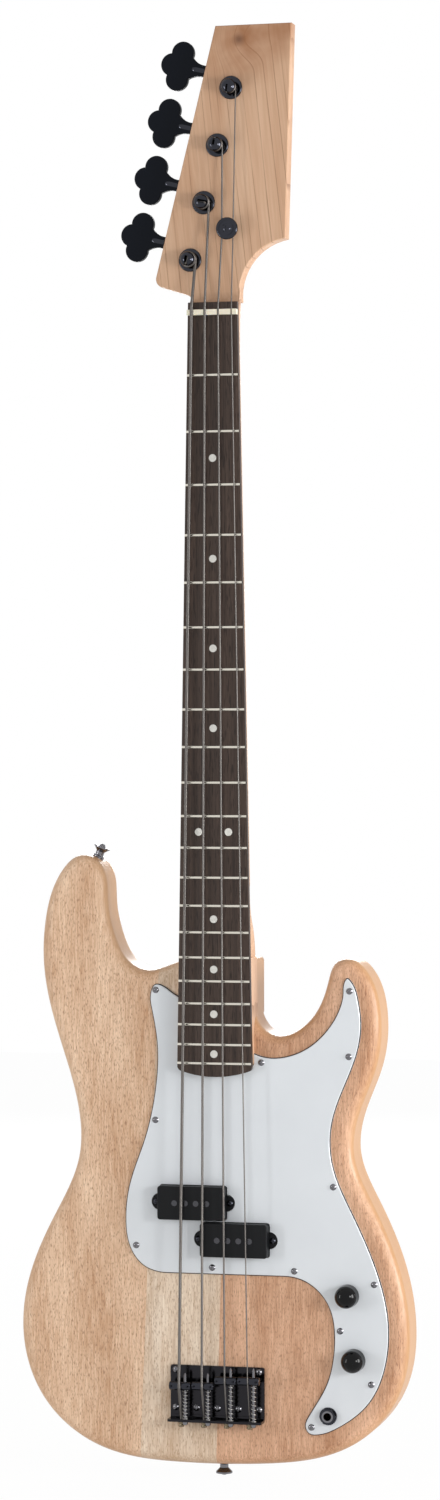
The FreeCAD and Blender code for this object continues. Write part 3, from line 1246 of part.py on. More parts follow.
def knob(x, z):
    """A domed cap on its shaft: the cap is hollow below for the nut, and bored for the shaft."""
    base = GUARD_FACE - KNOB_LIFT
    lens_rise = KNOB_HEIGHT - KNOB_SIDE
    lens = (KNOB_TOP_RADIUS ** 2 + lens_rise ** 2) / (2 * lens_rise)
    side = Part.makeCone(KNOB_RADIUS, KNOB_TOP_RADIUS, KNOB_SIDE, Vector(x, base, z), FORWARD)
    ball = Part.makeSphere(lens, Vector(x, base - KNOB_HEIGHT + lens, z))
    dome = ball.common(cylinder(Vector(x, base - KNOB_SIDE, z), FORWARD, KNOB_TOP_RADIUS, lens_rise))
    recess_depth = WASHER_THICKNESS + CONTROL_NUT_THICKNESS + KNOB_LIFT
    recess = cylinder(Vector(x, base, z), FORWARD, KNOB_RECESS_RADIUS, recess_depth)
    bore = cylinder(Vector(x, base, z), FORWARD, SHAFT_RADIUS + SEAT_GAP, KNOB_BORE_DEPTH)
    cap = side.fuse(dome).cut([recess, bore])
    foot = BODY_FACE + POT_DEPTH * 0.5
    shaft = cylinder(Vector(x, foot, z), FORWARD, SHAFT_RADIUS, foot - base + KNOB_BORE_DEPTH - SEAT_GAP)
    return [cap, shaft]


JACK_BUSH_TOP = GUARD_FACE - JACK_BUSH_PROUD
JACK_BUSH_LENGTH = BODY_FACE + JACK_PLATE_THICKNESS - JACK_BUSH_TOP


def jack_socket():
    """A threaded bush on an insulating disc, with two long contact springs behind it."""
    bush = cylinder(Vector(JACK_X, JACK_BUSH_TOP, JACK_Z), BACKWARD, BUSH_RADIUS, BODY_FACE - JACK_BUSH_TOP)
    disc = cylinder(Vector(JACK_X, BODY_FACE, JACK_Z), BACKWARD, JACK_PLATE_RADIUS, JACK_PLATE_THICKNESS)
    bore = cylinder(Vector(JACK_X, JACK_BUSH_TOP, JACK_Z), BACKWARD, JACK_BORE, JACK_BUSH_LENGTH)
    frame = bush.fuse(disc).cut(bore)
    start = BODY_FACE + JACK_PLATE_THICKNESS
    pieces = [frame]
    for side, length in ((-1, JACK_CONTACT_LENGTH), (1, JACK_CONTACT_LENGTH * 0.6)):
        near = JACK_X + side * (JACK_BORE + 1.2)
        far = near + side * JACK_CONTACT_THICKNESS
        w = JACK_CONTACT_WIDTH / 2
        pieces.append(block(min(near, far), max(near, far), start, start + length, JACK_Z - w, JACK_Z + w))
    return pieces


def jack_nut():
    washer = cylinder(Vector(JACK_X, GUARD_FACE, JACK_Z), FORWARD, WASHER_RADIUS, WASHER_THICKNESS)
    hole = cylinder(Vector(JACK_X, GUARD_FACE, JACK_Z), FORWARD, BUSH_RADIUS + SEAT_GAP, WASHER_THICKNESS)
    washer = washer.cut(hole)
    base = Vector(JACK_X, GUARD_FACE - WASHER_THICKNESS, JACK_Z)
    return [washer, hexagon_nut(JACK_NUT_FLATS, JACK_NUT_THICKNESS, BUSH_RADIUS + SEAT_GAP, base, FORWARD)]


def wiring():
    """The tone capacitor and the leads: pickups to the volume control, tone control to the jack."""
    (_, vx, vz), (_, tx, tz) = POTS
    can_back = BODY_FACE + POT_DEPTH + SEAT_GAP
    loop_y = can_back + LEAD_RISE
    pieces = []
    for offset, (_, px, pz), exit_z in zip((LEAD_SPACING, -LEAD_SPACING), PICKUPS, (-1, 1)):
        y = BODY_FACE + CHANNEL_DEPTH + offset
        z = CHANNEL_START[1] + offset
        start = Vector(px + PICKUP_WIDTH * 0.35, y, pz + LEAD_PICKUP_OFFSET * exit_z)
        turn = Vector(start.x, y, PICKUPS[1][2] + LEAD_PICKUP_OFFSET) if exit_z < 0 else start
        corner = Vector(CHANNEL_START[0] - LEAD_BEND, y, turn.z)
        leave = Vector(CHANNEL_END[0], y, CHANNEL_END[1] + offset)
        above = Vector(vx + 2 * offset, loop_y, vz)
        end = Vector(vx + 2 * offset, can_back, vz)
        points = [start, corner, Vector(CHANNEL_START[0], y, z), leave, above, end]
        radii = [0, LEAD_BEND, LEAD_BEND, LEAD_BEND, LEAD_BEND, 0]
        if exit_z < 0:
            points.insert(1, turn)
            radii.insert(1, LEAD_BEND)
        pieces.append(pipe(rounded_path(points, radii), WIRE_RADIUS))
    jack_x, jack_z = JACK_X + JACK_PLATE_RADIUS * 0.55, JACK_Z + JACK_PLATE_RADIUS * 0.6
    jack_y = BODY_FACE + JACK_PLATE_THICKNESS + SEAT_GAP
    points = [Vector(tx, can_back, tz), Vector(tx, loop_y, tz), Vector(jack_x, loop_y, jack_z),
              Vector(jack_x, jack_y, jack_z)]
    pieces.append(pipe(rounded_path(points, [0, LEAD_BEND, LEAD_BEND, 0]), WIRE_RADIUS))
    middle = Vector((vx + tx) / 2, can_back + WIRE_RADIUS, (vz + tz) / 2)
    disc = middle - BACKWARD * (CAPACITOR_THICKNESS / 2)
    pieces.append(cylinder(disc, BACKWARD, CAPACITOR_RADIUS, CAPACITOR_THICKNESS))
    for side, (_, x, z) in zip((1, -1), POTS):
        near = middle + Vector(0, 0, side * (CAPACITOR_RADIUS + SEAT_GAP))
        far = Vector(near.x, near.y, z - side * POT_RADIUS * 0.6)
        pieces.append(pipe([line(near, far)], WIRE_RADIUS - SEAT_GAP))
    return pieces


# The bored way for the leads, between the pickups' cavity and the controls' cavity
CHANNEL_START = (PICKUPS[1][1] + PICKUP_WIDTH / 2, PICKUPS[1][2] - 4)
CHANNEL_END = (POTS[0][1] - POT_CAVITY_RADIUS * 0.8, POTS[0][2] + 3)


# Strap buttons
def outline_curve():
    return spline(BODY_OUTLINE, closed=True)


def strap_places():
    """Where each button stands, let into the outline at its X, and the direction it points in."""
    lean = math.radians(BUTTON_LEAN)
    samples = outline_curve().toShape().discretize(Number=4000)
    middle = (BODY_FACE + BODY_BACK) / 2
    places = []
    horn_way = Vector(math.sin(lean), 0, math.cos(lean))
    for x, direction in ((BUTTON_HORN_X, horn_way), (BUTTON_TAIL_X, Vector(0, 0, -1))):
        furthest = max(p.dot(direction) for p in samples)
        near = [p for p in samples if p.dot(direction) > furthest - 2 * BUTTON_HEIGHT]
        seat = min(near, key=lambda p: abs(p.x - x))
        places.append((Vector(seat.x, middle, seat.z) - direction * BUTTON_SEAT, direction))
    return places


def strap_button():
    h = BUTTON_HEIGHT
    profile = [(BUTTON_SCREW_RADIUS + RUN_GAP, 0), (BUTTON_BASE_RADIUS, 0), (BUTTON_BASE_RADIUS, 0.2 * h),
               (BUTTON_WAIST_RADIUS, 0.34 * h), (BUTTON_WAIST_RADIUS, 0.58 * h), (BUTTON_HEAD_RADIUS, 0.88 * h),
               (BUTTON_HEAD_RADIUS, h), (BUTTON_SCREW_RADIUS + RUN_GAP, h)]
    return revolve(profile, Vector(0, 0, 0), UP)


def strap_screw():
    return dome_screw(BUTTON_SCREW_HEAD, 1.8, BUTTON_SCREW_RADIUS, BUTTON_HEIGHT + BUTTON_SCREW_LENGTH)


# Body
def control_cavity():
    y0, y1 = BODY_FACE - 1, BODY_FACE + CONTROL_CAVITY_DEPTH
    (_, vx, vz), (_, tx, tz) = POTS
    pots = [cylinder(Vector(x, y0, z), BACKWARD, POT_CAVITY_RADIUS, y1 - y0) for _, x, z in POTS]
    links = [stadium((vx, vz), (tx, tz), POT_LINK_RADIUS, y0, y1),
             stadium((tx, tz), (JACK_X, JACK_Z), JACK_CAVITY_RADIUS, y0, y1)]
    return pots[0].fuse(pots[1:] + links)


def body_holes():
    holes = [control_cavity()]
    holes.append(plate(heel_wire(POCKET_GAP, 0, -HEEL_LENGTH - POCKET_GAP), BODY_FACE - FAR / 4, HEEL_DEPTH))
    holes += [pickup_outline(x, z, CAVITY_GAP, BODY_FACE - 1, PICKUP_CAVITY_FLOOR) for _, x, z in PICKUPS]
    start = Vector(CHANNEL_START[0], BODY_FACE + CHANNEL_DEPTH, CHANNEL_START[1])
    run = Vector(CHANNEL_END[0], BODY_FACE + CHANNEL_DEPTH, CHANNEL_END[1]) - start
    holes.append(cylinder(start, run, CHANNEL_RADIUS, run.Length))

    def pilot(x, z, radius, depth):
        holes.append(cylinder(Vector(x, BODY_FACE - 1, z), BACKWARD, radius + WOOD_SCREW_GAP, depth + 1.5))

    for x, z in GUARD_SCREWS:
        pilot(x, z, GUARD_SCREW_RADIUS, GUARD_SCREW_LENGTH)
    for x, z in bridge_screw_places():
        pilot(x, z, BRIDGE_SCREW_RADIUS, BRIDGE_SCREW_LENGTH)
    for _, px, pz in PICKUPS:
        for s in (-1, 1):
            pilot(px + s * (PICKUP_WIDTH / 2 + PICKUP_SCREW_OFFSET), pz, PICKUP_SCREW_RADIUS,
                  PICKUP_SCREW_LENGTH + PICKUP_SINK)
    for x, z in neck_screw_places():
        start = Vector(x, HEEL_DEPTH - 1, z)
        holes.append(cylinder(start, BACKWARD, NECK_SCREW_RADIUS + WOOD_SCREW_GAP, FAR))
    for place, direction in strap_places():
        holes.append(cylinder(place, direction, BUTTON_BASE_RADIUS + SLOT_GAP, FAR))
        holes.append(cylinder(place, direction * -1, BUTTON_SCREW_RADIUS + WOOD_SCREW_GAP,
                              BUTTON_SCREW_LENGTH + 1))
    return holes


def body_tongue():
    """The block under the heel that reaches up from the body and carries the neck's upper screws."""
    top_z, root_z = TONGUE_TOP - HEEL_LENGTH, min(TONGUE_ROOT_Z, PLATE_Z)
    outline = rounded_rectangle(0, (top_z + root_z) / 2, TONGUE_WIDTH, top_z - root_z, TONGUE_CORNER)
    solid = plate(outline, HEEL_DEPTH, BODY_BACK)
    rims = [e for e in solid.Edges if e.BoundBox.YMin > BODY_BACK - 0.01]
    return solid.makeFillet(TONGUE_EDGE_ROUND, rims)


def body_planks():
    """The rounded body, hollowed, then sawn along its two leaning glue seams into three planks."""
    solid = plate(Part.Wire([outline_curve().toShape()]), BODY_FACE, BODY_BACK)
    rims = [e for e in solid.Edges if e.BoundBox.YLength < 0.01]
    pad = rounded_rectangle(0, PLATE_Z, PLATE_WIDTH + 2 * PLATE_MARGIN, PLATE_HEIGHT + 2 * PLATE_MARGIN,
                            PLATE_CORNER)
    square = plate(pad, BODY_BACK - 2 * BODY_EDGE_ROUND, BODY_BACK)
    solid = solid.makeFillet(BODY_EDGE_ROUND, rims).fuse([square, body_tongue()]).cut(body_holes())

    def seam(x, lean, z):
        return x + lean * (z - SEAM_Z)

    low, high = SEAM_Z - FAR, SEAM_Z + FAR
    lines = [(-FAR, -FAR), (seam(SEAM_BASS_X, SEAM_BASS_LEAN, low), seam(SEAM_BASS_X, SEAM_BASS_LEAN, high)),
             (seam(SEAM_TREBLE_X, SEAM_TREBLE_LEAN, low), seam(SEAM_TREBLE_X, SEAM_TREBLE_LEAN, high)),
             (FAR, FAR)]
    planks = []
    for (a_low, a_high), (b_low, b_high) in zip(lines, lines[1:]):
        places = ((a_low, low), (b_low, low), (b_high, high), (a_high, high))
        corners = [Vector(x, 0, z) for x, z in places]
        sawn = plate(Part.makePolygon(corners + corners[:1]), BODY_FACE - 1, BODY_BACK + 1)
        planks.append(solid.common(sawn))
    return planks


# Assembly: every node and its solids
def all_nodes():
    nodes = {}
    for name, plank in zip(("bass", "centre", "treble"), body_planks()):
        nodes["body_" + name + "_plank"] = [plank]
    nodes["neck"] = [neck()]
    nodes["truss_rod"] = [truss_rod()]
    nodes["truss_rod_nut"] = [truss_nut()]
    nodes["fingerboard"] = [fingerboard()]
    nodes["frets"] = frets()
    crown = crown_cylinder()
    nodes["position_dots"] = [d.common(crown) for d in position_dots()]
    nodes["nut"] = [nut()]
    outline = rounded_rectangle(0, PLATE_Z, PLATE_WIDTH, PLATE_HEIGHT, PLATE_CORNER)
    holes = [cylinder(Vector(x, 0, z), BACKWARD, NECK_SCREW_RADIUS + RUN_GAP, FAR)
             for x, z in neck_screw_places()]
    nodes["neck_plate"] = [plate(outline, BODY_BACK, BODY_BACK + PLATE_THICKNESS).cut(holes)]
    length = BODY_BACK + PLATE_THICKNESS - HEEL_DEPTH + NECK_SCREW_REACH
    screw = dome_screw(NECK_SCREW_HEAD, 2.2, NECK_SCREW_RADIUS, length)
    nodes["neck_screws"] = [stand(screw, Vector(x, BODY_BACK + PLATE_THICKNESS, z), BACKWARD)
                            for x, z in neck_screw_places()]
    nodes["string_tree"] = string_tree()
    machines = range(len(STRINGS))
    nodes["tuner_plates"] = [place_tuner(tuner_plate(), i) for i in machines]
    nodes["tuner_ferrules"] = [place_tuner(ferrule(), i) for i in machines]
    screw = dome_screw(TUNER_SCREW_RADIUS * 2, 1.4, TUNER_SCREW_RADIUS, TUNER_SCREW_LENGTH)
    back = HEAD_BACK + TUNER_PLATE_THICKNESS
    nodes["tuner_plate_screws"] = [stand(screw, Vector(x, back, z), BACKWARD)
                                   for i in machines for x, z in tuner_screw_places(i)]
    turned_key = key()
    for i, (name, _, _) in enumerate(STRINGS):
        nodes["tuner_key_" + name] = [place_tuner(s, i) for s in turned_key]
        nodes["tuner_post_" + name] = tuner_post(i)
        nodes["string_" + name] = string_solids(i)
        nodes["saddle_" + name] = saddle(i)
        nodes["intonation_screw_" + name] = [intonation_screw(i)]
    nodes["intonation_springs"] = intonation_springs()
    nodes["bridge_plate"] = [bridge_plate()]
    screw = dome_screw(BRIDGE_SCREW_HEAD, 2.0, BRIDGE_SCREW_RADIUS, BRIDGE_SCREW_LENGTH)
    nodes["bridge_screws"] = [stand(screw, Vector(x, BRIDGE_FACE, z), FORWARD)
                              for x, z in bridge_screw_places()]
    nodes["pickguard"] = [pickguard()]
    screw = dome_screw(GUARD_SCREW_HEAD, 1.5, GUARD_SCREW_RADIUS, GUARD_SCREW_LENGTH + GUARD_THICKNESS)
    nodes["pickguard_screws"] = [stand(screw, Vector(x, GUARD_FACE, z), FORWARD) for x, z in GUARD_SCREWS]
    for name, x, z in PICKUPS:
        nodes["pickup_cover_" + name] = [pickup_cover(x, z)]
        nodes["pickup_coil_" + name] = pickup_coil(x, z)
        nodes["pickup_poles_" + name] = pickup_poles(x, z)
        nodes["pickup_screws_" + name] = pickup_screws(x, z)
    nodes["pickup_pads"] = [pickup_pad(x, z) for _, x, z in PICKUPS]
    nodes["potentiometers"] = [potentiometer(x, z) for _, x, z in POTS]
    nodes["control_nuts"] = control_nuts()
    for name, x, z in POTS:
        nodes[name + "_knob"] = knob(x, z)
    nodes["jack_socket"] = jack_socket()
    nodes["jack_nut"] = jack_nut()
    nodes["wiring"] = wiring()
    button, screw = strap_button(), strap_screw()
    nodes["strap_buttons"] = [stand(button, place, direction) for place, direction in strap_places()]
    nodes["strap_button_screws"] = [stand(screw, place + direction * BUTTON_HEIGHT, direction)
                                    for place, direction in strap_places()]
    return nodes


os.makedirs("parts", exist_ok=True)
for node, solids in all_nodes().items():
    shape = solids[0] if len(solids) == 1 else Part.makeCompound(solids)
    if not shape.isValid():
        print("not valid:", node)
    shape.exportStep(os.path.join("parts", node + ".step"))
    print(node, "solids", len(shape.Solids), "volume", round(shape.Volume, 1))
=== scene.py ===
import math

import bmesh
import bpy
from mathutils import Matrix, Vector


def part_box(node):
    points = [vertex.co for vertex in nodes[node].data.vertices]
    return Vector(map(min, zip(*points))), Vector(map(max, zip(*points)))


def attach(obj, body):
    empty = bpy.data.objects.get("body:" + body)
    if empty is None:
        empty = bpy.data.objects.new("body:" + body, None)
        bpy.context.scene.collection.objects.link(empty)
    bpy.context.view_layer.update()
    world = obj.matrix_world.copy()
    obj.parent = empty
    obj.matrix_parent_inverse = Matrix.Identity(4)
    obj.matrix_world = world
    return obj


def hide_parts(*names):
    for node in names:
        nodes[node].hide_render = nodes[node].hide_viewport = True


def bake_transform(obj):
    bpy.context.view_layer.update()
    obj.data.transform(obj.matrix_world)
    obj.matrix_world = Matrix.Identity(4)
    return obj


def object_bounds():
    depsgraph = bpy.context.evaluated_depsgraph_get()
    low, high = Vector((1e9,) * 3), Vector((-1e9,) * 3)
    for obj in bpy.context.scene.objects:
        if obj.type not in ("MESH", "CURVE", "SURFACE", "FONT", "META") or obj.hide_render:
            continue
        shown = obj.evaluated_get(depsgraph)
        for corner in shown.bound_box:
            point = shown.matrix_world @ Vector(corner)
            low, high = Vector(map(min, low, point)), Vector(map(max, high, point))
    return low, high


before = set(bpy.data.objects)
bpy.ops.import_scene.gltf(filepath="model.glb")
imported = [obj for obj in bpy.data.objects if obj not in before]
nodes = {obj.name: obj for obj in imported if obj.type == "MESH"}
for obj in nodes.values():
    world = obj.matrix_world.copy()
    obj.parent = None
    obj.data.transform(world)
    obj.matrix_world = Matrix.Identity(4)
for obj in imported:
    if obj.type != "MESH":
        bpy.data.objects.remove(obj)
cad_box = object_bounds()


# Body: three planks of alder glued edge to edge, sawn to shape and rounded over with a router.
# The wood has no finish, so its open pores show as short dark dashes along the grain.
# The rounded edge has fewer open pores, and is painted a darker, warmer brown than the faces: painted shade
# where the sides turn away from the front.
MM = 0.001


def linear(code):
    """An sRGB hex colour as the linear RGBA that a socket takes."""
    parts = [int(code[i:i + 2], 16) / 255 for i in (1, 3, 5)]
    return (*[p / 12.92 if p <= 0.04045 else ((p + 0.055) / 1.055) ** 2.4 for p in parts], 1.0)


def add(tree, kind, links=None, values=None, **settings):
    """Adds one node with its settings, socket values and incoming links."""
    node = tree.nodes.new(kind)
    for name, value in settings.items():
        setattr(node, name, value)
    for socket, value in (values or {}).items():
        node.inputs[socket].default_value = value
    for socket, source in (links or {}).items():
        tree.links.new(source, node.inputs[socket])
    return node


def new_material(name, **values):
    """A material with its Principled shader, whose plain values are set by name."""
    material = bpy.data.materials.new(name)
    material.use_nodes = True
    shader = material.node_tree.nodes["Principled BSDF"]
    for socket, value in values.items():
        shader.inputs[socket.replace("_", " ")].default_value = value
    return material, material.node_tree, shader


def dress(material, *names):
    """Gives CAD nodes their material; the nodes keep their mesh."""
    for name in names:
        slots = nodes[name].data.materials
        slots.clear()
        slots.append(material)


# Bare alder: sanded, matt, with a soft figure; pores are drawn about twice their real width to show.
ALDER_FIGURE = (26 * MM, 130 * MM)
ALDER_FIBRE = (1.3 * MM, 18 * MM)
ALDER_PORE = (0.65 * MM, 3.2 * MM)
# Painted shade: the darker, warmer brown given to the rounded edges as they turn from the front.
ALDER_EDGE_SHADE = linear("#b98a58")


def bare_alder(name, pale, dark, pore, offset):
    material, tree, shader = new_material(name, Roughness=0.6, IOR=1.5)
    place = add(tree, "ShaderNodeTexCoord")
    noises = []
    for (across, along), detail in ((ALDER_FIGURE, 4), (ALDER_FIBRE, 3), (ALDER_PORE, 1)):
        grain = add(tree, "ShaderNodeMapping", {"Vector": place.outputs["Object"]},
                    {"Location": (offset, offset, offset), "Scale": (1 / across, 1 / across, 1 / along)})
        noises.append(add(tree, "ShaderNodeTexNoise", {"Vector": grain.outputs["Vector"]},
                          {"Scale": 1.0, "Detail": detail}).outputs["Fac"])
    figure = add(tree, "ShaderNodeMapRange", {"Value": noises[0]}, {"From Min": 0.35, "From Max": 0.65})
    fibre = add(tree, "ShaderNodeMapRange", {"Value": noises[1]}, {"From Min": 0.32, "From Max": 0.68})
    share = add(tree, "ShaderNodeMix", {2: figure.outputs[0], 3: fibre.outputs[0]}, {0: 0.55})
    ground = add(tree, "ShaderNodeMix", {0: share.outputs[0]}, {6: linear(dark), 7: linear(pale)},
                 data_type="RGBA")
    facing = add(tree, "ShaderNodeSeparateXYZ", {0: place.outputs["Normal"]})
    slope = add(tree, "ShaderNodeMath", {0: facing.outputs["Y"]}, operation="ABSOLUTE")
    # The rounding share grows as the surface turns sideways: it paints the edge darker as painted shade,
    # closes the pores and makes the edge glossier.
    rounding = add(tree, "ShaderNodeMapRange", {"Value": slope.outputs[0]},
                   {"From Min": 0.98, "From Max": 0.25, "To Max": 0.8})
    shaded_edge = add(tree, "ShaderNodeMix", {0: rounding.outputs[0], 6: ground.outputs[2]}, {7: ALDER_EDGE_SHADE},
                 data_type="RGBA")
    pit = add(tree, "ShaderNodeMapRange", {"Value": noises[2]},
              {"From Min": 0.54, "From Max": 0.7, "To Max": 0.65})
    closed = add(tree, "ShaderNodeMath", {0: pit.outputs[0], 1: rounding.outputs[0]}, operation="SUBTRACT",
                 use_clamp=True)
    pored = add(tree, "ShaderNodeMix", {0: closed.outputs[0], 6: shaded_edge.outputs[2]}, {7: linear(pore)},
                data_type="RGBA")
    tree.links.new(pored.outputs[2], shader.inputs["Base Color"])
    sheen = add(tree, "ShaderNodeMapRange", {"Value": rounding.outputs[0]},
                {"From Max": 0.4, "To Min": 0.62, "To Max": 0.34})
    tree.links.new(sheen.outputs[0], shader.inputs["Roughness"])
    dent = add(tree, "ShaderNodeBump", {"Height": closed.outputs[0]},
               {"Strength": 0.35, "Distance": 0.15 * MM}, invert=True)
    tree.links.new(dent.outputs[0], shader.inputs["Normal"])
    return material


dress(bare_alder("bare_alder_bass", "#f3d4b6", "#be906b", "#8f6143", 3.1), "body_bass_plank")
dress(bare_alder("bare_alder_centre", "#f4e2cd", "#c5a688", "#a27b58", 11.7), "body_centre_plank")
dress(bare_alder("bare_alder_treble", "#e8bc9c", "#b07e5b", "#85563a", 23.3), "body_treble_plank")


# Neck: one piece of maple, D-shaped behind, its head left as an uncut paddle with square sides.
# Four screws hold its heel in the body's pocket. The bare wood shows thin brown growth lines,
# and a small knot near the top of the head, with brown stains round it and in the far corner.
MAPLE_LINE_SPACING = 8 * MM
MAPLE_LINE_LEAN = math.radians(6)
MAPLE_FIGURE = (16 * MM, 200 * MM)
MAPLE_FIBRE = (1.6 * MM, 45 * MM)
MAPLE_LINE_BREAKS = (14 * MM, 70 * MM)
KNOT_PLACE = (20 * MM, 5 * MM, 224 * MM)
KNOT_SPREAD, KNOT_PULL = 30 * MM, 14 * MM
STAIN_PATCH = 18 * MM
STAINS = ((KNOT_PLACE, 55 * MM), ((62 * MM, 5 * MM, 236 * MM), 38 * MM))


def bare_maple():
    """Sanded maple: pale and close, so the eye sees thin growth lines more than pores."""
    material, tree, shader = new_material("bare_maple", Roughness=0.5, IOR=1.5)
    place = add(tree, "ShaderNodeTexCoord")
    away = add(tree, "ShaderNodeVectorMath", {0: place.outputs["Object"]}, {1: KNOT_PLACE},
               operation="DISTANCE")
    pull = add(tree, "ShaderNodeMapRange", {"Value": away.outputs["Value"]},
               {"From Max": KNOT_SPREAD, "To Min": KNOT_PULL, "To Max": 0.0},
               interpolation_type="SMOOTHSTEP")
    shove = add(tree, "ShaderNodeCombineXYZ", {"X": pull.outputs[0]})
    bent = add(tree, "ShaderNodeVectorMath", {0: place.outputs["Object"], 1: shove.outputs[0]},
               operation="ADD")
    turned = add(tree, "ShaderNodeMapping", {"Vector": bent.outputs[0]},
                 {"Rotation": (0, MAPLE_LINE_LEAN, 0)})
    rate = 1 / MAPLE_LINE_SPACING
    lines = add(tree, "ShaderNodeMapping", {"Vector": turned.outputs[0]},
                {"Location": (0.3, 0, 0), "Scale": (rate, rate * 0.35, rate * 0.03)})
    # One pattern unit is one band: a wave repeats every pi / 10 units at scale 1.
    rings = add(tree, "ShaderNodeTexWave", {"Vector": lines.outputs[0]},
                {"Scale": math.pi / 10, "Distortion": 7.0, "Detail": 3.0, "Detail Scale": 0.9},
                wave_profile="SAW")
    line = add(tree, "ShaderNodeMapRange", {"Value": rings.outputs["Fac"]},
               {"From Min": 0.88, "From Max": 0.98, "To Max": 0.8})
    noises = []
    for across, along in (MAPLE_FIGURE, MAPLE_FIBRE, MAPLE_LINE_BREAKS):
        grain = add(tree, "ShaderNodeMapping", {"Vector": turned.outputs[0]},
                    {"Scale": (1 / across, 1 / across, 1 / along)})
        noises.append(add(tree, "ShaderNodeTexNoise", {"Vector": grain.outputs[0]},
                          {"Scale": 1.0, "Detail": 3.0}).outputs["Fac"])
    share = add(tree, "ShaderNodeMix", {2: noises[0], 3: noises[1]}, {0: 0.4})
    level = add(tree, "ShaderNodeMapRange", {"Value": share.outputs[0]}, {"From Min": 0.3, "From Max": 0.7})
    ground = add(tree, "ShaderNodeMix", {0: level.outputs[0]},
                 {6: linear("#bd9170"), 7: linear("#d8b496")}, data_type="RGBA")
    broken = add(tree, "ShaderNodeMapRange", {"Value": noises[2]}, {"From Min": 0.36, "From Max": 0.6})
    drawn = add(tree, "ShaderNodeMath", {0: line.outputs[0], 1: broken.outputs[0]}, operation="MULTIPLY")
    lined = add(tree, "ShaderNodeMix", {0: drawn.outputs[0], 6: ground.outputs[2]}, {7: linear("#8f6546")},
                data_type="RGBA")
    cloud = add(tree, "ShaderNodeTexNoise", {"Vector": place.outputs["Object"]},
                {"Scale": 1 / STAIN_PATCH, "Detail": 2.0})
    stained = lined
    for middle, spread in STAINS:
        apart = add(tree, "ShaderNodeVectorMath", {0: place.outputs["Object"]}, {1: middle},
                    operation="DISTANCE")
        reach = add(tree, "ShaderNodeMapRange", {"Value": apart.outputs["Value"]},
                    {"From Max": spread, "To Min": 1.3, "To Max": 0.0}, interpolation_type="SMOOTHSTEP")
        patch = add(tree, "ShaderNodeMath", {0: reach.outputs[0], 1: cloud.outputs["Fac"]},
                    operation="MULTIPLY")
        stained = add(tree, "ShaderNodeMix", {0: patch.outputs[0], 6: stained.outputs[2]},
                      {7: linear("#97633d")}, data_type="RGBA")
    core = add(tree, "ShaderNodeMapRange", {"Value": away.outputs["Value"]},
               {"From Min": 1.0 * MM, "From Max": 6.5 * MM, "To Min": 0.7, "To Max": 0.0})
    knotted = add(tree, "ShaderNodeMix", {0: core.outputs[0], 6: stained.outputs[2]},
                  {7: linear("#5e3a26")}, data_type="RGBA")
    tree.links.new(knotted.outputs[2], shader.inputs["Base Color"])
    gloss = add(tree, "ShaderNodeMapRange", {"Value": noises[1]}, {"To Min": 0.42, "To Max": 0.58})
    tree.links.new(gloss.outputs[0], shader.inputs["Roughness"])
    feel = add(tree, "ShaderNodeBump", {"Height": noises[1]}, {"Strength": 0.2, "Distance": 0.05 * MM})
    tree.links.new(feel.outputs[0], shader.inputs["Normal"])
    return material


dress(bare_maple(), "neck")


# Truss rod and its nut: a double-acting steel rod in a channel under the fingerboard.
# The nut's hexagon socket shows at the heel end. Rolled steel, thinly oiled and a little mottled.
def metal(name, colour, low, high, patch=3 * MM, **values):
    """A metal whose polish varies in soft patches, from the low to the high roughness."""
    material, tree, shader = new_material(name, Base_Color=linear(colour), Metallic=1.0, **values)
    place = add(tree, "ShaderNodeTexCoord")
    mottle = add(tree, "ShaderNodeTexNoise", {"Vector": place.outputs["Object"]},
                 {"Scale": 1 / patch, "Detail": 3.0})
    polish = add(tree, "ShaderNodeMapRange", {"Value": mottle.outputs["Fac"]},
                 {"From Min": 0.3, "From Max": 0.7, "To Min": low, "To Max": high})
    tree.links.new(polish.outputs[0], shader.inputs["Roughness"])
    return material


plain_steel = metal("plain_steel", "#a9a7a3", 0.28, 0.45)
dress(plain_steel, "truss_rod", "truss_rod_nut")


# Fingerboard: a slip of dark rosewood glued on the neck, crowned across to a 305 mm radius.
# Oiled, not lacquered: long brown streaks and fine open pores, drawn a little coarser to show.
ROSEWOOD_STREAK = (5 * MM, 160 * MM)
ROSEWOOD_FIBRE = (1.4 * MM, 70 * MM)
ROSEWOOD_PORE = (0.9 * MM, 11 * MM)


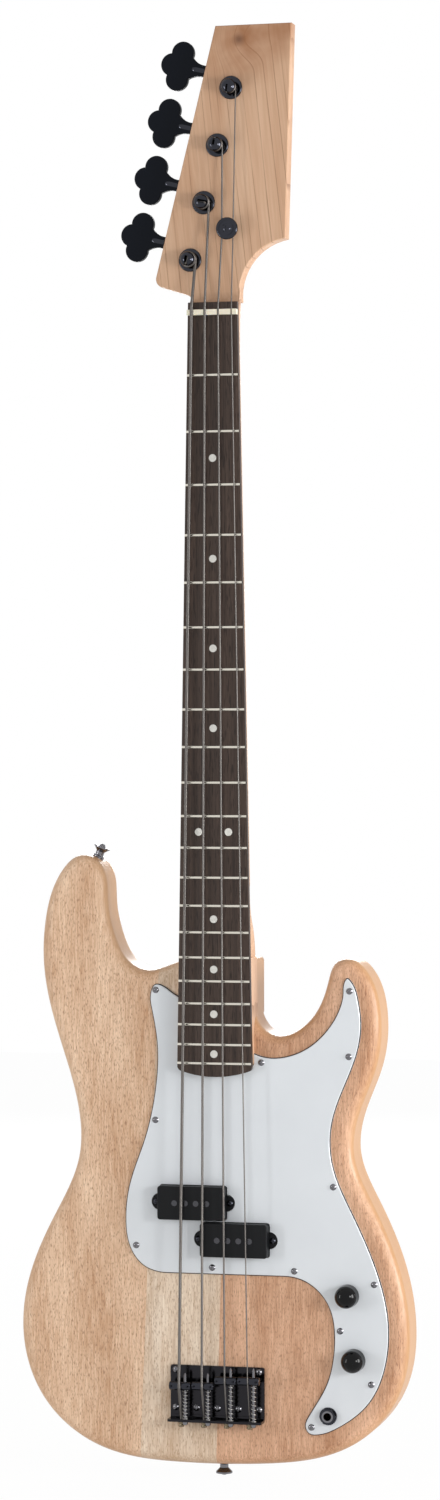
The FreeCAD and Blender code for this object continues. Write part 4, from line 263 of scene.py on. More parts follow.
def oiled_rosewood():
    material, tree, shader = new_material("oiled_rosewood", Roughness=0.45, IOR=1.5,
                                          Specular_IOR_Level=0.3)
    place = add(tree, "ShaderNodeTexCoord")
    noises = []
    for (across, along), detail in ((ROSEWOOD_STREAK, 4), (ROSEWOOD_FIBRE, 3), (ROSEWOOD_PORE, 1)):
        grain = add(tree, "ShaderNodeMapping", {"Vector": place.outputs["Object"]},
                    {"Scale": (1 / across, 1 / across, 1 / along)})
        noises.append(add(tree, "ShaderNodeTexNoise", {"Vector": grain.outputs[0]},
                          {"Scale": 1.0, "Detail": detail}).outputs["Fac"])
    share = add(tree, "ShaderNodeMix", {2: noises[0], 3: noises[1]}, {0: 0.5})
    level = add(tree, "ShaderNodeMapRange", {"Value": share.outputs[0]},
                {"From Min": 0.32, "From Max": 0.68})
    ground = add(tree, "ShaderNodeMix", {0: level.outputs[0]},
                 {6: linear("#2a1f1a"), 7: linear("#4d3e36")}, data_type="RGBA")
    pit = add(tree, "ShaderNodeMapRange", {"Value": noises[2]},
              {"From Min": 0.56, "From Max": 0.66, "To Max": 0.8})
    pored = add(tree, "ShaderNodeMix", {0: pit.outputs[0], 6: ground.outputs[2]}, {7: linear("#211712")},
                data_type="RGBA")
    tree.links.new(pored.outputs[2], shader.inputs["Base Color"])
    gloss = add(tree, "ShaderNodeMapRange", {"Value": noises[1]}, {"To Min": 0.36, "To Max": 0.56})
    tree.links.new(gloss.outputs[0], shader.inputs["Roughness"])
    dent = add(tree, "ShaderNodeBump", {"Height": pit.outputs[0]},
               {"Strength": 0.4, "Distance": 0.1 * MM}, invert=True)
    tree.links.new(dent.outputs[0], shader.inputs["Normal"])
    return material


dress(oiled_rosewood(), "fingerboard")


# Frets: 21 lengths of nickel silver wire pressed into slots, their ends filed back at a slant.
# Polished by hand along the wire, so they are bright with a faint variation in gloss.
dress(metal("polished_nickel_silver", "#d6d1c6", 0.14, 0.26, patch=6 * MM), "frets")


# Position dots: pearl plastic discs let into the board, a pair at the octave, with small side dots.
# The plastic has a cloudy swirl of paler flakes under a polished face.
PEARL_SWIRL = 2.5 * MM


def pearl_plastic():
    material, tree, shader = new_material("pearl_plastic", Roughness=0.18, IOR=1.5, Coat_Weight=0.4)
    place = add(tree, "ShaderNodeTexCoord")
    swirl = add(tree, "ShaderNodeTexNoise", {"Vector": place.outputs["Object"]},
                {"Scale": 1 / PEARL_SWIRL, "Detail": 2.0, "Distortion": 2.5})
    tone = add(tree, "ShaderNodeMix", {0: swirl.outputs["Fac"]},
               {6: linear("#cfcdc6"), 7: linear("#f2f0ea")}, data_type="RGBA")
    tree.links.new(tone.outputs[2], shader.inputs["Base Color"])
    return material


dress(pearl_plastic(), "position_dots")


# Nut: a strip of bone glued across the board's end, slotted for the four strings.
# Sawn and polished bone: cream, with faint streaks along its length.
BONE_STREAK = (9 * MM, 0.8 * MM)


def polished_bone():
    material, tree, shader = new_material("polished_bone", Roughness=0.35, IOR=1.54, Subsurface_Weight=0.1,
                                          Subsurface_Scale=0.5 * MM)
    place = add(tree, "ShaderNodeTexCoord")
    along, across = BONE_STREAK
    streak = add(tree, "ShaderNodeMapping", {"Vector": place.outputs["Object"]},
                 {"Scale": (1 / along, 1 / across, 1 / across)})
    cloud = add(tree, "ShaderNodeTexNoise", {"Vector": streak.outputs[0]}, {"Scale": 1.0, "Detail": 3.0})
    tone = add(tree, "ShaderNodeMix", {0: cloud.outputs["Fac"]},
               {6: linear("#dcd2b9"), 7: linear("#f1ead8")}, data_type="RGBA")
    tree.links.new(tone.outputs[2], shader.inputs["Base Color"])
    return material


dress(polished_bone(), "nut")


# Neck plate and its four screws: stamped steel, plated black, spreading the screws' load on the back.
# The plating is dark and mirror-like, with the faint waviness of a polished stamping.
black_chrome = metal("black_chrome", "#36373d", 0.06, 0.14, patch=4 * MM)
dress(black_chrome, "neck_plate", "neck_screws")


# Tuning machines: four open-geared heads, each a back plate, ferrule, post with its wheel, and a key.
# Posts, ferrules and screws are plated black; plates and clover keys have a satin black coat.
KEY_LEAN = math.radians(13.9)
WORM_OFFSET = 10.3 * MM
SLEEVE_START, SLEEVE_END = 27.4 * MM, 42 * MM
SLEEVE_RADIUS = 3.5 * MM
ENAMEL_PEEL = 1.2 * MM
STRING_NAMES = ("e", "a", "d", "g")


def lathe(name, profile, origin, axis, steps=32):
    """A closed turned piece: (distance along the axis, radius) pairs spun about it."""
    turn = Vector((0, 0, 1)).rotation_difference(axis).to_matrix().to_4x4()
    mesh = bmesh.new()
    rings = []
    for along, radius in profile:
        ring = []
        for step in range(steps):
            angle = 2 * math.pi * step / steps
            ring.append(mesh.verts.new((radius * math.cos(angle), radius * math.sin(angle), along)))
        rings.append(ring)
    for low, high in zip(rings, rings[1:]):
        for step in range(steps):
            after = (step + 1) % steps
            mesh.faces.new((low[step], low[after], high[after], high[step])).smooth = True
    mesh.faces.new(list(reversed(rings[0])))
    mesh.faces.new(rings[-1])
    bmesh.ops.transform(mesh, matrix=Matrix.Translation(origin) @ turn, verts=mesh.verts)
    bmesh.ops.recalc_face_normals(mesh, faces=mesh.faces)
    piece = bpy.data.objects.new(name, bpy.data.meshes.new(name))
    mesh.to_mesh(piece.data)
    mesh.free()
    bpy.context.scene.collection.objects.link(piece)
    return piece


def satin_black():
    """A thin black coat baked on brass: satin, with the fine orange peel of sprayed enamel."""
    material, tree, shader = new_material("satin_black_enamel", Base_Color=linear("#0d1119"), Roughness=0.4,
                                          IOR=1.5, Specular_IOR_Level=0.1)
    place = add(tree, "ShaderNodeTexCoord")
    peel = add(tree, "ShaderNodeTexNoise", {"Vector": place.outputs["Object"]},
               {"Scale": 1 / ENAMEL_PEEL, "Detail": 2.0})
    gloss = add(tree, "ShaderNodeMapRange", {"Value": peel.outputs["Fac"]}, {"To Min": 0.34, "To Max": 0.5})
    tree.links.new(gloss.outputs[0], shader.inputs["Roughness"])
    skin = add(tree, "ShaderNodeBump", {"Height": peel.outputs["Fac"]},
               {"Strength": 0.12, "Distance": 0.1 * MM})
    tree.links.new(skin.outputs[0], shader.inputs["Normal"])
    return material


satin_enamel = satin_black()
along_head = Vector((math.sin(KEY_LEAN), 0, math.cos(KEY_LEAN)))
out_to_key = Vector((-math.cos(KEY_LEAN), 0, math.sin(KEY_LEAN)))
post_middles = {}
for name in STRING_NAMES:
    dress(satin_enamel, "tuner_key_" + name)
    dress(black_chrome, "tuner_post_" + name)
    low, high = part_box("tuner_post_" + name)
    post_middles[name] = (low + high) / 2
    worm_low, worm_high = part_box("tuner_key_" + name)
    axle = post_middles[name] + along_head * WORM_OFFSET
    axle.y = (worm_low.y + worm_high.y) / 2
    sleeve = [(SLEEVE_START, SLEEVE_RADIUS - 0.5 * MM), (SLEEVE_START + 0.5 * MM, SLEEVE_RADIUS),
              (SLEEVE_END - 4 * MM, SLEEVE_RADIUS), (SLEEVE_END - 1.5 * MM, SLEEVE_RADIUS - 0.3 * MM),
              (SLEEVE_END, SLEEVE_RADIUS - 1.2 * MM)]
    piece = lathe("key_sleeve_" + name, sleeve, axle, out_to_key)
    piece.data.materials.append(black_chrome)
    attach(piece, "key_" + name)
dress(satin_enamel, "tuner_plates")
dress(black_chrome, "tuner_ferrules", "tuner_plate_screws")


# String tree: a turned disc on a short stem that presses the two upper strings to the head.
# It is plated like the posts and held by one countersunk wood screw.
dress(black_chrome, "string_tree")


# Strings: four roundwound strings, a steel wire core wrapped in steel from ball end to post.
# Each runs over its saddle and nut, then winds on its post and turns into the post's slot.
# The run stays with the guitar and the turns move with the post; the end is not tied to any moving part.
STRING_SIZES = {"e": (2.67, 1.5), "a": (2.16, 1.75), "d": (1.65, 2.0), "g": (1.14, 2.5)}
RIB_SPACING = 1.1 * MM
RIB_HEIGHT = 0.04
RIB_STEPS = 5
NUT_SPREAD = 33 * MM
NUT_BACK, NUT_SLOT_Y = 4.4 * MM, -7.7 * MM
LIP_Z, LIP_END_Z, LIP_STRING_Y = -896.6 * MM, -898.6 * MM, -3.6 * MM
SADDLE_TOP_Y, SADDLE_RADIUS = -10.1 * MM, 3.5 * MM
TREE_UNDER_Y, TREE_GAP, TREE_OFFSET = -3.0 * MM, 0.15 * MM, 4.7 * MM
TREE_EDGE = Vector((11.8 * MM, 0, 62.32 * MM))
FERRULE_Y, POST_WAIST = 3.2 * MM, 4.0 * MM
SEAT_GAP, WRAP_GAP, WRAP_LIFT, WRAP_SPACE = 0.06 * MM, 0.2 * MM, 0.9 * MM, 0.55 * MM
BEND_EASE = 2.5 * MM
WRAP_STEPS = 24
SLOT_TURN = math.radians(80)
# The run goes on inside the first turns and the end inside the run, so no gap opens when they move.
RUN_ON_STEPS = 4
RUN_ON_RADIUS = 0.9
LEAD_NECK, LEAD_END, LEAD_RADIUS = 3 * MM, 13 * MM, 0.82
RUN_START = 7 * MM


def wound_string_tree():
    """A round tube along a curve whose middle circles the line, which leaves one rib at each turn."""
    tree = bpy.data.node_groups.new("wound_string", "GeometryNodeTree")
    tree.interface.new_socket("Geometry", in_out="INPUT", socket_type="NodeSocketGeometry")
    sockets = {}
    for label in ("Radius", "Rib height", "Rib spacing"):
        sockets[label] = tree.interface.new_socket(label, in_out="INPUT",
                                                   socket_type="NodeSocketFloat").identifier
    sockets["Material"] = tree.interface.new_socket("Material", in_out="INPUT",
                                                    socket_type="NodeSocketMaterial").identifier
    tree.interface.new_socket("Geometry", in_out="OUTPUT", socket_type="NodeSocketGeometry")
    given = add(tree, "NodeGroupInput")
    step = add(tree, "ShaderNodeMath", {0: given.outputs["Rib spacing"]}, {1: RIB_STEPS},
               operation="DIVIDE")
    fine = add(tree, "GeometryNodeResampleCurve",
               {"Curve": given.outputs["Geometry"], "Length": step.outputs[0]}, mode="LENGTH")
    index = add(tree, "GeometryNodeInputIndex")
    twist = add(tree, "ShaderNodeMath", {0: index.outputs[0]}, {1: 2 * math.pi / RIB_STEPS},
                operation="MULTIPLY")
    wound = add(tree, "GeometryNodeSetCurveTilt", {"Curve": fine.outputs[0], "Tilt": twist.outputs[0]})
    bare = add(tree, "ShaderNodeMath", {0: given.outputs["Radius"], 1: given.outputs["Rib height"]},
               operation="SUBTRACT")
    ring = add(tree, "GeometryNodeCurvePrimitiveCircle", {"Radius": bare.outputs[0]}, {"Resolution": 8})
    aside = add(tree, "ShaderNodeCombineXYZ", {"X": given.outputs["Rib height"]})
    off = add(tree, "GeometryNodeTransform", {"Geometry": ring.outputs[0], "Translation": aside.outputs[0]})
    width = add(tree, "GeometryNodeInputRadius")
    tube = add(tree, "GeometryNodeCurveToMesh",
               {"Curve": wound.outputs[0], "Profile Curve": off.outputs[0], "Scale": width.outputs[0]},
               {"Fill Caps": True})
    smooth = add(tree, "GeometryNodeSetShadeSmooth", {0: tube.outputs[0]})
    whole = add(tree, "GeometryNodeRealizeInstances", {0: smooth.outputs[0]})
    finished = add(tree, "GeometryNodeSetMaterial", {"Geometry": whole.outputs[0],
                                                     "Material": given.outputs["Material"]})
    add(tree, "NodeGroupOutput", {0: finished.outputs[0]})
    return tree, sockets


def bake(name, source, tree, inputs):
    """Runs a Geometry Nodes tree on a source object and keeps what it makes as a plain mesh."""
    modifier = source.modifiers.new("make", "NODES")
    modifier.node_group = tree
    for identifier, value in inputs.items():
        modifier[identifier] = value
    shown = source.evaluated_get(bpy.context.evaluated_depsgraph_get())
    piece = bpy.data.objects.new(name, bpy.data.meshes.new_from_object(shown))
    piece.data.name = name
    bpy.data.objects.remove(source)
    bpy.context.scene.collection.objects.link(piece)
    return piece


def wire_line(name, points, radii):
    """A smooth open curve steered by points, with its own radius at each."""
    curve = bpy.data.curves.new(name, "CURVE")
    curve.dimensions = "3D"
    spline = curve.splines.new("NURBS")
    spline.points.add(len(points) - 1)
    for place, point, radius in zip(spline.points, points, radii):
        place.co = (*point, 1)
        place.radius = radius
    spline.order_u = 3
    spline.use_endpoint_u = True
    spline.resolution_u = 8
    line = bpy.data.objects.new(name, curve)
    bpy.context.scene.collection.objects.link(line)
    return line


def eased(points):
    """Steering points that keep each run straight and round each corner closely."""
    steered = [points[0]]
    for before, corner, after in zip(points, points[1:], points[2:]):
        steered.append(corner + (before - corner).normalized() * BEND_EASE)
        steered.append(corner)
        steered.append(corner + (after - corner).normalized() * BEND_EASE)
    return steered + [points[-1]]


string_steel = metal("wound_string_steel", "#6d6966", 0.3, 0.42, patch=8 * MM)
wound_string, wound_sockets = wound_string_tree()
string_ways = {}
for index, name in enumerate(STRING_NAMES):
    width, turns = STRING_SIZES[name]
    r = width * MM / 2
    low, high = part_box("saddle_" + name)
    x, saddle_z = (low.x + high.x) / 2, (low.z + high.z) / 2
    x_nut = NUT_SPREAD * (index / 3 - 0.5)
    saddle_y = SADDLE_TOP_Y - r - SEAT_GAP
    bend = SADDLE_RADIUS + r + SEAT_GAP
    fall = math.atan2(LIP_STRING_Y - saddle_y, saddle_z - LIP_Z - 2 * r)
    route = [Vector((x, LIP_STRING_Y, LIP_END_Z)), Vector((x, LIP_STRING_Y, LIP_Z + 2 * r)),
             Vector((x, saddle_y, saddle_z - bend * math.tan(fall / 2))),
             Vector((x_nut, NUT_SLOT_Y - r - SEAT_GAP, NUT_BACK + 2 * r))]
    if name in "dg":
        side = TREE_OFFSET if name == "g" else -TREE_OFFSET
        route.append(TREE_EDGE + Vector((side, TREE_UNDER_Y + r + TREE_GAP, 0)))
    wrap, pitch = POST_WAIST + WRAP_GAP + r, 2 * r + WRAP_SPACE
    middle, last = post_middles[name], route[-1]
    away = math.hypot(middle.x - last.x, middle.z - last.z)
    start = math.atan2(middle.z - last.z, middle.x - last.x) - math.asin(wrap / away) - math.pi / 2
    low_y = FERRULE_Y - r - WRAP_LIFT

    def on_post(step):
        angle = start + 2 * math.pi * step / WRAP_STEPS
        return Vector((middle.x + wrap * math.cos(angle), low_y - pitch * step / WRAP_STEPS,
                       middle.z + wrap * math.sin(angle)))

    ball, lip, crown = route[:3]
    along = (route[3] - crown).normalized()
    lead = eased([ball, lip, crown, crown + along * LEAD_NECK]) + [crown + along * LEAD_END]
    lead_radii = [1.0] * (len(lead) - 2) + [LEAD_RADIUS] * 2
    points = eased([crown + along * RUN_START] + route[3:] + [on_post(0)])
    run_on = [on_post(step) for step in range(1, RUN_ON_STEPS + 1)]
    radii = [1.0] * len(points) + [RUN_ON_RADIUS] * RUN_ON_STEPS
    steps = round(turns * WRAP_STEPS)
    turn = [on_post(step) for step in range(steps + 1)]
    inward = start + 2 * math.pi * turns + SLOT_TURN
    tail = Vector((math.cos(inward), 0, math.sin(inward)))
    slot_middle = Vector((middle.x, turn[-1].y - pitch / 8, middle.z))
    turn += [slot_middle + tail * (wrap * 0.75), slot_middle + tail * 0.5 * MM, slot_middle - tail * 2 * r]
    sizes = {wound_sockets["Radius"]: r, wound_sockets["Rib height"]: RIB_HEIGHT * r,
             wound_sockets["Rib spacing"]: RIB_SPACING, wound_sockets["Material"]: string_steel}
    run = bake("string_run_" + name, wire_line("run", points + run_on, radii), wound_string, sizes)
    wrapped = bake("string_turns_" + name, wire_line("turns", turn, [1.0] * len(turn)), wound_string, sizes)
    end = bake("string_end_" + name, wire_line("end", lead, lead_radii), wound_string, sizes)
    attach(run, "guitar")
    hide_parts("string_" + name)
    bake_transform(end)
    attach(wrapped, "post_" + name)
    string_ways[name] = ball


# Ball ends: a grooved brass barrel in each string's loop, pulled up against the bridge's lip.
# Turned from bar, so it is bright, with a dull patch here and there.
BALL_RADIUS, BALL_LENGTH = 2.4 * MM, 4.6 * MM
turned_brass = metal("turned_brass", "#756a57", 0.24, 0.38)
for name in STRING_NAMES:
    half = BALL_LENGTH / 2
    barrel = [(0, BALL_RADIUS - 0.3 * MM), (0.3 * MM, BALL_RADIUS), (half - 0.8 * MM, BALL_RADIUS),
              (half, BALL_RADIUS - 0.7 * MM), (half + 0.8 * MM, BALL_RADIUS),
              (BALL_LENGTH - 0.3 * MM, BALL_RADIUS), (BALL_LENGTH, BALL_RADIUS - 0.3 * MM)]
    piece = lathe("ball_end_" + name, barrel, string_ways[name], Vector((0, 0, -1)))
    piece.data.materials.append(turned_brass)
    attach(piece, "guitar")


# Bridge: a bent steel plate with four barrel saddles, each on a long screw with a coil spring.
# Five screws at the lip and two in front hold it on the body.
# The plate is plated gloss black and the screws dark nickel.
gloss_black_plate = metal("gloss_black_plating", "#2c2b2e", 0.08, 0.2, patch=5 * MM)
dark_nickel = metal("dark_nickel", "#77767a", 0.1, 0.22, patch=2 * MM)
dress(gloss_black_plate, "bridge_plate")
dress(dark_nickel, "bridge_screws", *["intonation_screw_" + n for n in STRING_NAMES])
dress(black_chrome, *["saddle_" + n for n in STRING_NAMES])


# Saddle springs: hard-drawn wire coils that keep each saddle pushed to the end of its screw.
# Each is squeezed between the lip and its saddle, so it stretches when the saddle slides.
SPRING_RADIUS, SPRING_WIRE, SPRING_TURNS = 1.95 * MM, 0.7 * MM, 9
SPRING_ASIDE, SPRING_Y = 4.05 * MM, -6.6 * MM


def coil_spring_tree():
    """A coil of round wire up Z from the origin, its last half turn at each end lying flat."""
    tree = bpy.data.node_groups.new("coil_spring", "GeometryNodeTree")
    sockets = {}
    for label in ("Radius", "Wire", "Turns", "Length"):
        sockets[label] = tree.interface.new_socket(label, in_out="INPUT",
                                                   socket_type="NodeSocketFloat").identifier
    for label, kind in (("Foot", "NodeSocketVector"), ("Material", "NodeSocketMaterial")):
        sockets[label] = tree.interface.new_socket(label, in_out="INPUT", socket_type=kind).identifier
    tree.interface.new_socket("Geometry", in_out="OUTPUT", socket_type="NodeSocketGeometry")
    given = add(tree, "NodeGroupInput")
    coil = add(tree, "GeometryNodeCurveSpiral",
               {"Rotations": given.outputs["Turns"], "Start Radius": given.outputs["Radius"],
                "End Radius": given.outputs["Radius"], "Height": given.outputs["Length"]},
               {"Resolution": 28})
    along = add(tree, "GeometryNodeSplineParameter")
    flat = add(tree, "ShaderNodeMath", {1: given.outputs["Turns"]}, {0: 0.5}, operation="DIVIDE")
    rest = add(tree, "ShaderNodeMath", {1: flat.outputs[0]}, {0: 1.0}, operation="SUBTRACT")
    top = add(tree, "ShaderNodeMath", {0: given.outputs["Length"], 1: given.outputs["Wire"]},
              operation="SUBTRACT")
    rise = add(tree, "ShaderNodeMapRange", {"Value": along.outputs["Factor"], "From Min": flat.outputs[0],
                                            "From Max": rest.outputs[0], "To Max": top.outputs[0]})
    half = add(tree, "ShaderNodeMath", {0: given.outputs["Wire"]}, {1: 0.5}, operation="MULTIPLY")
    height = add(tree, "ShaderNodeMath", {0: rise.outputs[0], 1: half.outputs[0]}, operation="ADD")
    where = add(tree, "GeometryNodeInputPosition")
    apart = add(tree, "ShaderNodeSeparateXYZ", {0: where.outputs[0]})
    moved = add(tree, "ShaderNodeCombineXYZ", {"X": apart.outputs["X"], "Y": apart.outputs["Y"],
                                               "Z": height.outputs[0]})
    squared = add(tree, "GeometryNodeSetPosition",
                  {"Geometry": coil.outputs[0], "Position": moved.outputs[0]})
    ring = add(tree, "GeometryNodeCurvePrimitiveCircle", {"Radius": half.outputs[0]}, {"Resolution": 8})
    tube = add(tree, "GeometryNodeCurveToMesh",
               {"Curve": squared.outputs[0], "Profile Curve": ring.outputs[0]}, {"Fill Caps": True})
    placed = add(tree, "GeometryNodeTransform", {"Geometry": tube.outputs[0],
                                                 "Translation": given.outputs["Foot"]})
    smooth = add(tree, "GeometryNodeSetShadeSmooth", {0: placed.outputs[0]})
    whole = add(tree, "GeometryNodeRealizeInstances", {0: smooth.outputs[0]})
    finished = add(tree, "GeometryNodeSetMaterial", {"Geometry": whole.outputs[0],
                                                     "Material": given.outputs["Material"]})
    add(tree, "NodeGroupOutput", {0: finished.outputs[0]})
    return tree, sockets


coil_spring, spring_sockets = coil_spring_tree()
for name in STRING_NAMES:
    low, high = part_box("saddle_" + name)
    foot = Vector(((low.x + high.x) / 2 + SPRING_ASIDE, SPRING_Y, LIP_Z))
    length = (low.z + high.z) / 2 - SADDLE_RADIUS - LIP_Z
    blank = bpy.data.objects.new("blank", bpy.data.meshes.new("blank"))
    bpy.context.scene.collection.objects.link(blank)
    sizes = {spring_sockets["Radius"]: SPRING_RADIUS, spring_sockets["Wire"]: SPRING_WIRE,
             spring_sockets["Turns"]: float(SPRING_TURNS), spring_sockets["Length"]: length,
             spring_sockets["Foot"]: foot, spring_sockets["Material"]: plain_steel}
    spring = bake("saddle_spring_" + name, blank, coil_spring, sizes)
    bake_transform(spring)
    if name == "e":
        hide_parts("intonation_springs")


# Pickguard: one sheet of three-ply plastic, white over black over white, with a bevelled edge.
# Thirteen small domed screws hold it down.
# The face is polished; the bevel shows the black ply as a dull line.
PLY_TOP, PLY_BLACK = 0.5 * MM, 1.0 * MM
VINYL_CLOUD = 40 * MM


def three_ply():
    material, tree, shader = new_material("three_ply_vinyl", Roughness=0.14, IOR=1.53)
    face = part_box("pickguard")[0].y
    place = add(tree, "ShaderNodeTexCoord")
    depth = add(tree, "ShaderNodeSeparateXYZ", {0: place.outputs["Object"]})
    below = add(tree, "ShaderNodeMath", {0: depth.outputs["Y"]}, {1: face + PLY_TOP},
                operation="GREATER_THAN")
    above = add(tree, "ShaderNodeMath", {0: depth.outputs["Y"]}, {1: face + PLY_TOP + PLY_BLACK},
                operation="LESS_THAN")
    middle = add(tree, "ShaderNodeMath", {0: below.outputs[0], 1: above.outputs[0]}, operation="MULTIPLY")
    cloud = add(tree, "ShaderNodeTexNoise", {"Vector": place.outputs["Object"]},
                {"Scale": 1 / VINYL_CLOUD, "Detail": 2.0})
    white = add(tree, "ShaderNodeMix", {0: cloud.outputs["Fac"]},
                {6: linear("#d6dadf"), 7: linear("#dee2e6")}, data_type="RGBA")
    ply = add(tree, "ShaderNodeMix", {0: middle.outputs[0], 6: white.outputs[2]}, {7: linear("#17181a")},
              data_type="RGBA")
    tree.links.new(ply.outputs[2], shader.inputs["Base Color"])
    rub = add(tree, "ShaderNodeMapRange", {"Value": cloud.outputs["Fac"]}, {"To Min": 0.1, "To Max": 0.2})
    cut = add(tree, "ShaderNodeMix", {0: middle.outputs[0], 2: rub.outputs[0]}, {3: 0.7})
    tree.links.new(cut.outputs[0], shader.inputs["Roughness"])
    dull = add(tree, "ShaderNodeMapRange", {"Value": middle.outputs[0]}, {"To Min": 0.5, "To Max": 0.1})
    tree.links.new(dull.outputs[0], shader.inputs["Specular IOR Level"])
    return material


dress(three_ply(), "pickguard")
dress(dark_nickel, "pickguard_screws")


# Split pickup: two halves, each a moulded cover over a coil of fine wire with four steel poles.
# Two screws through the cover's ears set its height against a foam pad below.
MOULD_GRAIN = 0.7 * MM


def moulded_black():
    """Moulded ABS, spark-eroded to a fine matt grain of about 0.4 mm, drawn at 0.7 mm to show."""
    material, tree, shader = new_material("moulded_black_plastic", Base_Color=linear("#131416"),
                                          Roughness=0.42, IOR=1.53, Specular_IOR_Level=0.14)
    place = add(tree, "ShaderNodeTexCoord")
    grain = add(tree, "ShaderNodeTexNoise", {"Vector": place.outputs["Object"]},
                {"Scale": 1 / MOULD_GRAIN, "Detail": 2.0})
    gloss = add(tree, "ShaderNodeMapRange", {"Value": grain.outputs["Fac"]},
                {"To Min": 0.34, "To Max": 0.52})
    tree.links.new(gloss.outputs[0], shader.inputs["Roughness"])
    skin = add(tree, "ShaderNodeBump", {"Height": grain.outputs["Fac"]},
               {"Strength": 0.25, "Distance": 0.06 * MM})
    tree.links.new(skin.outputs[0], shader.inputs["Normal"])
    return material


moulded_cover = moulded_black()
pole_steel = metal("ground_pole_steel", "#4e4e52", 0.2, 0.34, patch=1.5 * MM)
magnet_wire = metal("enamelled_copper_wire", "#8a4a2c", 0.3, 0.42, patch=0.8 * MM)
for half in ("bass", "treble"):
    dress(moulded_cover, "pickup_cover_" + half)
    dress(magnet_wire, "pickup_coil_" + half)
    dress(pole_steel, "pickup_poles_" + half)
    dress(black_chrome, "pickup_screws_" + half)


# Pickup pads: blocks of soft open-cell foam glued to the cavity floor, one under each half.
# Cut with a knife, crowned by their own spring and pulled in at the waist.
PAD_LENGTH, PAD_WIDTH = 50 * MM, 13.7 * MM
PAD_CROWN, PAD_WAIST = 0.8 * MM, 0.6 * MM
FOAM_CELL = 0.9 * MM


def open_cell_foam():
    material, tree, shader = new_material("open_cell_foam", Roughness=0.95, IOR=1.45, Sheen_Weight=0.2)
    place = add(tree, "ShaderNodeTexCoord")
    cells = add(tree, "ShaderNodeTexVoronoi", {"Vector": place.outputs["Object"]}, {"Scale": 1 / FOAM_CELL})
    tone = add(tree, "ShaderNodeMix", {0: cells.outputs["Distance"]},
               {6: linear("#1d1d1f"), 7: linear("#3a3a3d")}, data_type="RGBA")
    tree.links.new(tone.outputs[2], shader.inputs["Base Color"])
    pit = add(tree, "ShaderNodeBump", {"Height": cells.outputs["Distance"]},
              {"Strength": 0.6, "Distance": 0.3 * MM})
    tree.links.new(pit.outputs[0], shader.inputs["Normal"])
    return material


soft_foam = open_cell_foam()
pads_low, pads_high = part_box("pickup_pads")
for half in ("bass", "treble"):
    low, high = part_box("pickup_cover_" + half)
    middle = Vector(((low.x + high.x) / 2, (pads_low.y + pads_high.y) / 2, (low.z + high.z) / 2))
    size = Vector((PAD_LENGTH, pads_high.y - pads_low.y, PAD_WIDTH))
    mesh = bmesh.new()
    bmesh.ops.create_cube(mesh, size=1.0)
    bmesh.ops.subdivide_edges(mesh, edges=mesh.edges, cuts=7, use_grid_fill=True)
    for vert in mesh.verts:
        x, y, z = vert.co * 2
        crown = (1 - x ** 4) * (1 - z ** 4)
        waist = 1 - y ** 2
        vert.co = Vector((vert.co.x * (size.x - 2 * PAD_WAIST * waist),
                          vert.co.y * (size.y - 2 * PAD_CROWN * (1 - crown) * (y < 0)),
                          vert.co.z * (size.z - 2 * PAD_WAIST * waist))) + middle
    for face in mesh.faces:
        face.smooth = True
    pad = bpy.data.objects.new("pickup_pad_" + half, bpy.data.meshes.new("pickup_pad_" + half))
    mesh.to_mesh(pad.data)
    mesh.free()
    bpy.context.scene.collection.objects.link(pad)
    pad.data.materials.append(soft_foam)
    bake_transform(pad)
    if half == "bass":
        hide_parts("pickup_pads")


# Controls: two potentiometers hung from the guard by nuts, with pressed-on domed knobs.
# The knobs are turned from black plastic and buffed to a mirror gloss.
KNOB_WEAR = 4 * MM


def buffed_black():
    material, tree, shader = new_material("buffed_black_acrylic", Base_Color=linear("#050506"),
                                          IOR=1.49, Specular_IOR_Level=0.2)
    place = add(tree, "ShaderNodeTexCoord")
    wear = add(tree, "ShaderNodeTexNoise", {"Vector": place.outputs["Object"]},
               {"Scale": 1 / KNOB_WEAR, "Detail": 3.0})
    gloss = add(tree, "ShaderNodeMapRange", {"Value": wear.outputs["Fac"]},
                {"To Min": 0.03, "To Max": 0.08})
    tree.links.new(gloss.outputs[0], shader.inputs["Roughness"])
    return material


dress(buffed_black(), "volume_knob", "tone_knob")
dress(plain_steel, "potentiometers")
dress(black_chrome, "control_nuts")


# Output jack: a threaded socket through the guard, with a washer and a six-sided nut on its face.
# The nut is plated black; the socket's barrel, springs and frame are dark nickel.
dress(dark_nickel, "jack_socket")
dress(black_chrome, "jack_nut")


# Wiring: leads and a capacitor soldered between the pickups, controls and jack.
# Tinned copper under a dull dark insulation, laid in the cavities under the guard.
INSULATION_DUST = 2 * MM


def lead_cover():
    material, tree, shader = new_material("lead_insulation", Roughness=0.5, IOR=1.5)
    place = add(tree, "ShaderNodeTexCoord")
    dust = add(tree, "ShaderNodeTexNoise", {"Vector": place.outputs["Object"]},
               {"Scale": 1 / INSULATION_DUST, "Detail": 2.0})
    tone = add(tree, "ShaderNodeMix", {0: dust.outputs["Fac"]},
               {6: linear("#1c1c1e"), 7: linear("#34343a")}, data_type="RGBA")
    tree.links.new(tone.outputs[2], shader.inputs["Base Color"])
    return material


dress(lead_cover(), "wiring")


# Strap buttons: two turned buttons, one on the upper horn and one at the tail, each on a wood screw.
# Plated dark nickel, like the screws of the guard and the bridge.
dress(dark_nickel, "strap_buttons", "strap_button_screws")


# Stage: a plain pale floor under the tail, soft lamps to both sides and behind, and a white surround.
# The surround and floor read as white to the camera and in reflections, and light the wood softly.
FLOOR_HALF = 4.0
FLOOR_WHITE = 0.97
SURROUND_LIGHT, SURROUND_WHITE = 0.5, 1.0


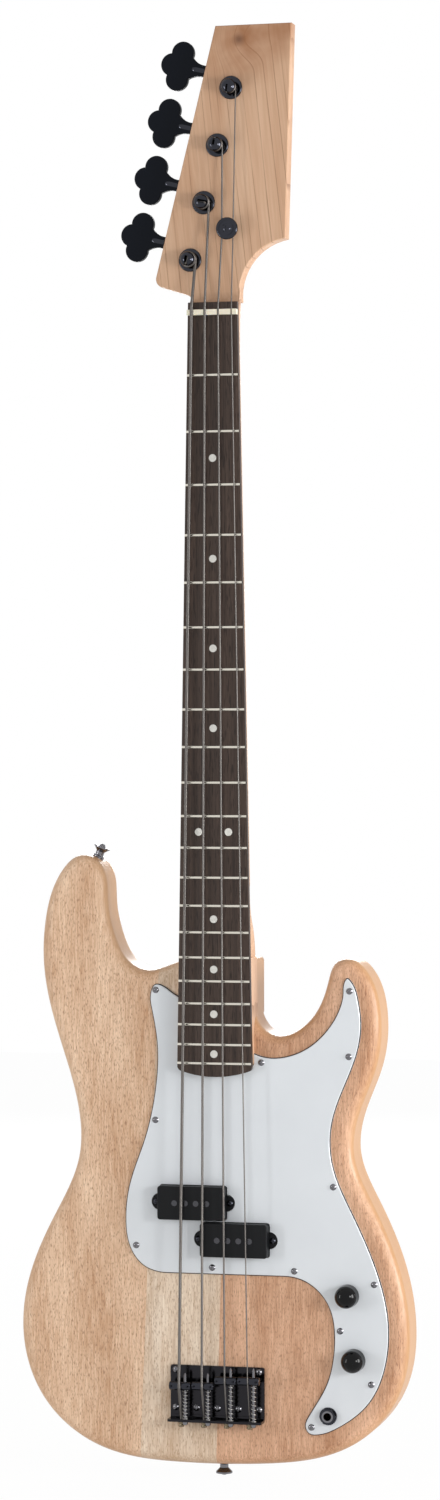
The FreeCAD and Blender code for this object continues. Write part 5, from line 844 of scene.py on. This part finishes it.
def looked_at(tree):
    """One for a ray from the camera, a mirror or glass, and zero for a ray that lights the scene."""
    path = add(tree, "ShaderNodeLightPath")
    seen = add(tree, "ShaderNodeMath", {0: path.outputs["Is Camera Ray"], 1: path.outputs["Is Glossy Ray"]},
               operation="MAXIMUM")
    known = add(tree, "ShaderNodeMath", {0: seen.outputs[0], 1: path.outputs["Is Transmission Ray"]},
                operation="MAXIMUM")
    return known.outputs[0]


def pale_floor():
    material = bpy.data.materials.new("pale_floor")
    material.use_nodes = True
    tree = material.node_tree
    tree.nodes.clear()
    share = add(tree, "ShaderNodeMath", {0: looked_at(tree)}, {1: FLOOR_WHITE}, operation="MULTIPLY")
    matt = add(tree, "ShaderNodeBsdfDiffuse", values={"Color": linear("#f2f2f0")})
    white = add(tree, "ShaderNodeEmission", values={"Strength": 1.0})
    both = add(tree, "ShaderNodeMixShader",
               {0: share.outputs[0], 1: matt.outputs[0], 2: white.outputs[0]})
    add(tree, "ShaderNodeOutputMaterial", {"Surface": both.outputs[0]})
    return material


floor_z = cad_box[0].z
corners = [(-FLOOR_HALF, -FLOOR_HALF, floor_z), (FLOOR_HALF, -FLOOR_HALF, floor_z),
           (FLOOR_HALF, FLOOR_HALF, floor_z), (-FLOOR_HALF, FLOOR_HALF, floor_z)]
floor = bpy.data.objects.new("floor", bpy.data.meshes.new("floor"))
floor.data.from_pydata(corners, [], [(0, 1, 2, 3)])
floor.data.materials.append(pale_floor())
bpy.context.scene.collection.objects.link(floor)

world = bpy.data.worlds.new("white_surround")
bpy.context.scene.world = world
world.use_nodes = True
sky = world.node_tree
level = add(sky, "ShaderNodeMapRange", {"Value": looked_at(sky)},
            {"To Min": SURROUND_LIGHT, "To Max": SURROUND_WHITE})
sky.nodes["Background"].inputs["Color"].default_value = (1, 1, 1, 1)
sky.links.new(level.outputs[0], sky.nodes["Background"].inputs["Strength"])

middle = (cad_box[0] + cad_box[1]) / 2
LAMPS = {"right_key": ((2.0, -1.3, -0.3), (0.4, 0.5), 16.0),
         "left_strip": ((-1.5, -1.1, -0.5), (0.2, 0.9), 8.0),
         "right_rim": ((2.6, -0.35, -0.3), (0.9, 1.2), 48.0),
         "back_fill": ((-0.6, 2.8, 0.2), (1.2, 1.2), 38.0)}
for name, (place, size, power) in LAMPS.items():
    lamp = bpy.data.lights.new(name, "AREA")
    lamp.shape = "RECTANGLE"
    lamp.size, lamp.size_y = size
    lamp.energy = power
    holder = bpy.data.objects.new(name, lamp)
    holder.location = place
    holder.rotation_euler = (middle - Vector(place)).to_track_quat("-Z", "Y").to_euler()
    bpy.context.scene.collection.objects.link(holder)


# Camera: a long lens square to the guitar, a little to its treble side.
# A long lens from over three metres gives the photograph's near-flat perspective.
CAMERA_YAW, CAMERA_PITCH, CAMERA_ROLL = math.radians(14.0), math.radians(0.42), math.radians(-0.13)
CAMERA_DISTANCE = 3.248
CAMERA_LENS, CAMERA_SENSOR = 96.0, 36.0
CAMERA_AIM = Vector((4.2 * MM, 0, -352.5 * MM))
back = Vector((math.sin(CAMERA_YAW) * math.cos(CAMERA_PITCH),
               -math.cos(CAMERA_YAW) * math.cos(CAMERA_PITCH), math.sin(CAMERA_PITCH)))
right = Vector((0, 0, 1)).cross(back).normalized()
above = back.cross(right)
tilted = right * math.cos(CAMERA_ROLL) + above * math.sin(CAMERA_ROLL)
upright = above * math.cos(CAMERA_ROLL) - right * math.sin(CAMERA_ROLL)
camera_data = bpy.data.cameras.new("camera")
camera_data.lens = CAMERA_LENS
camera_data.sensor_width = CAMERA_SENSOR
camera = bpy.data.objects.new("camera", camera_data)
camera.matrix_world = Matrix.Translation(CAMERA_AIM + back * CAMERA_DISTANCE) @ Matrix(
    (tilted, upright, back)).transposed().to_4x4()
bpy.context.scene.collection.objects.link(camera)
bpy.context.scene.camera = camera
bpy.context.scene.view_settings.view_transform = "Standard"
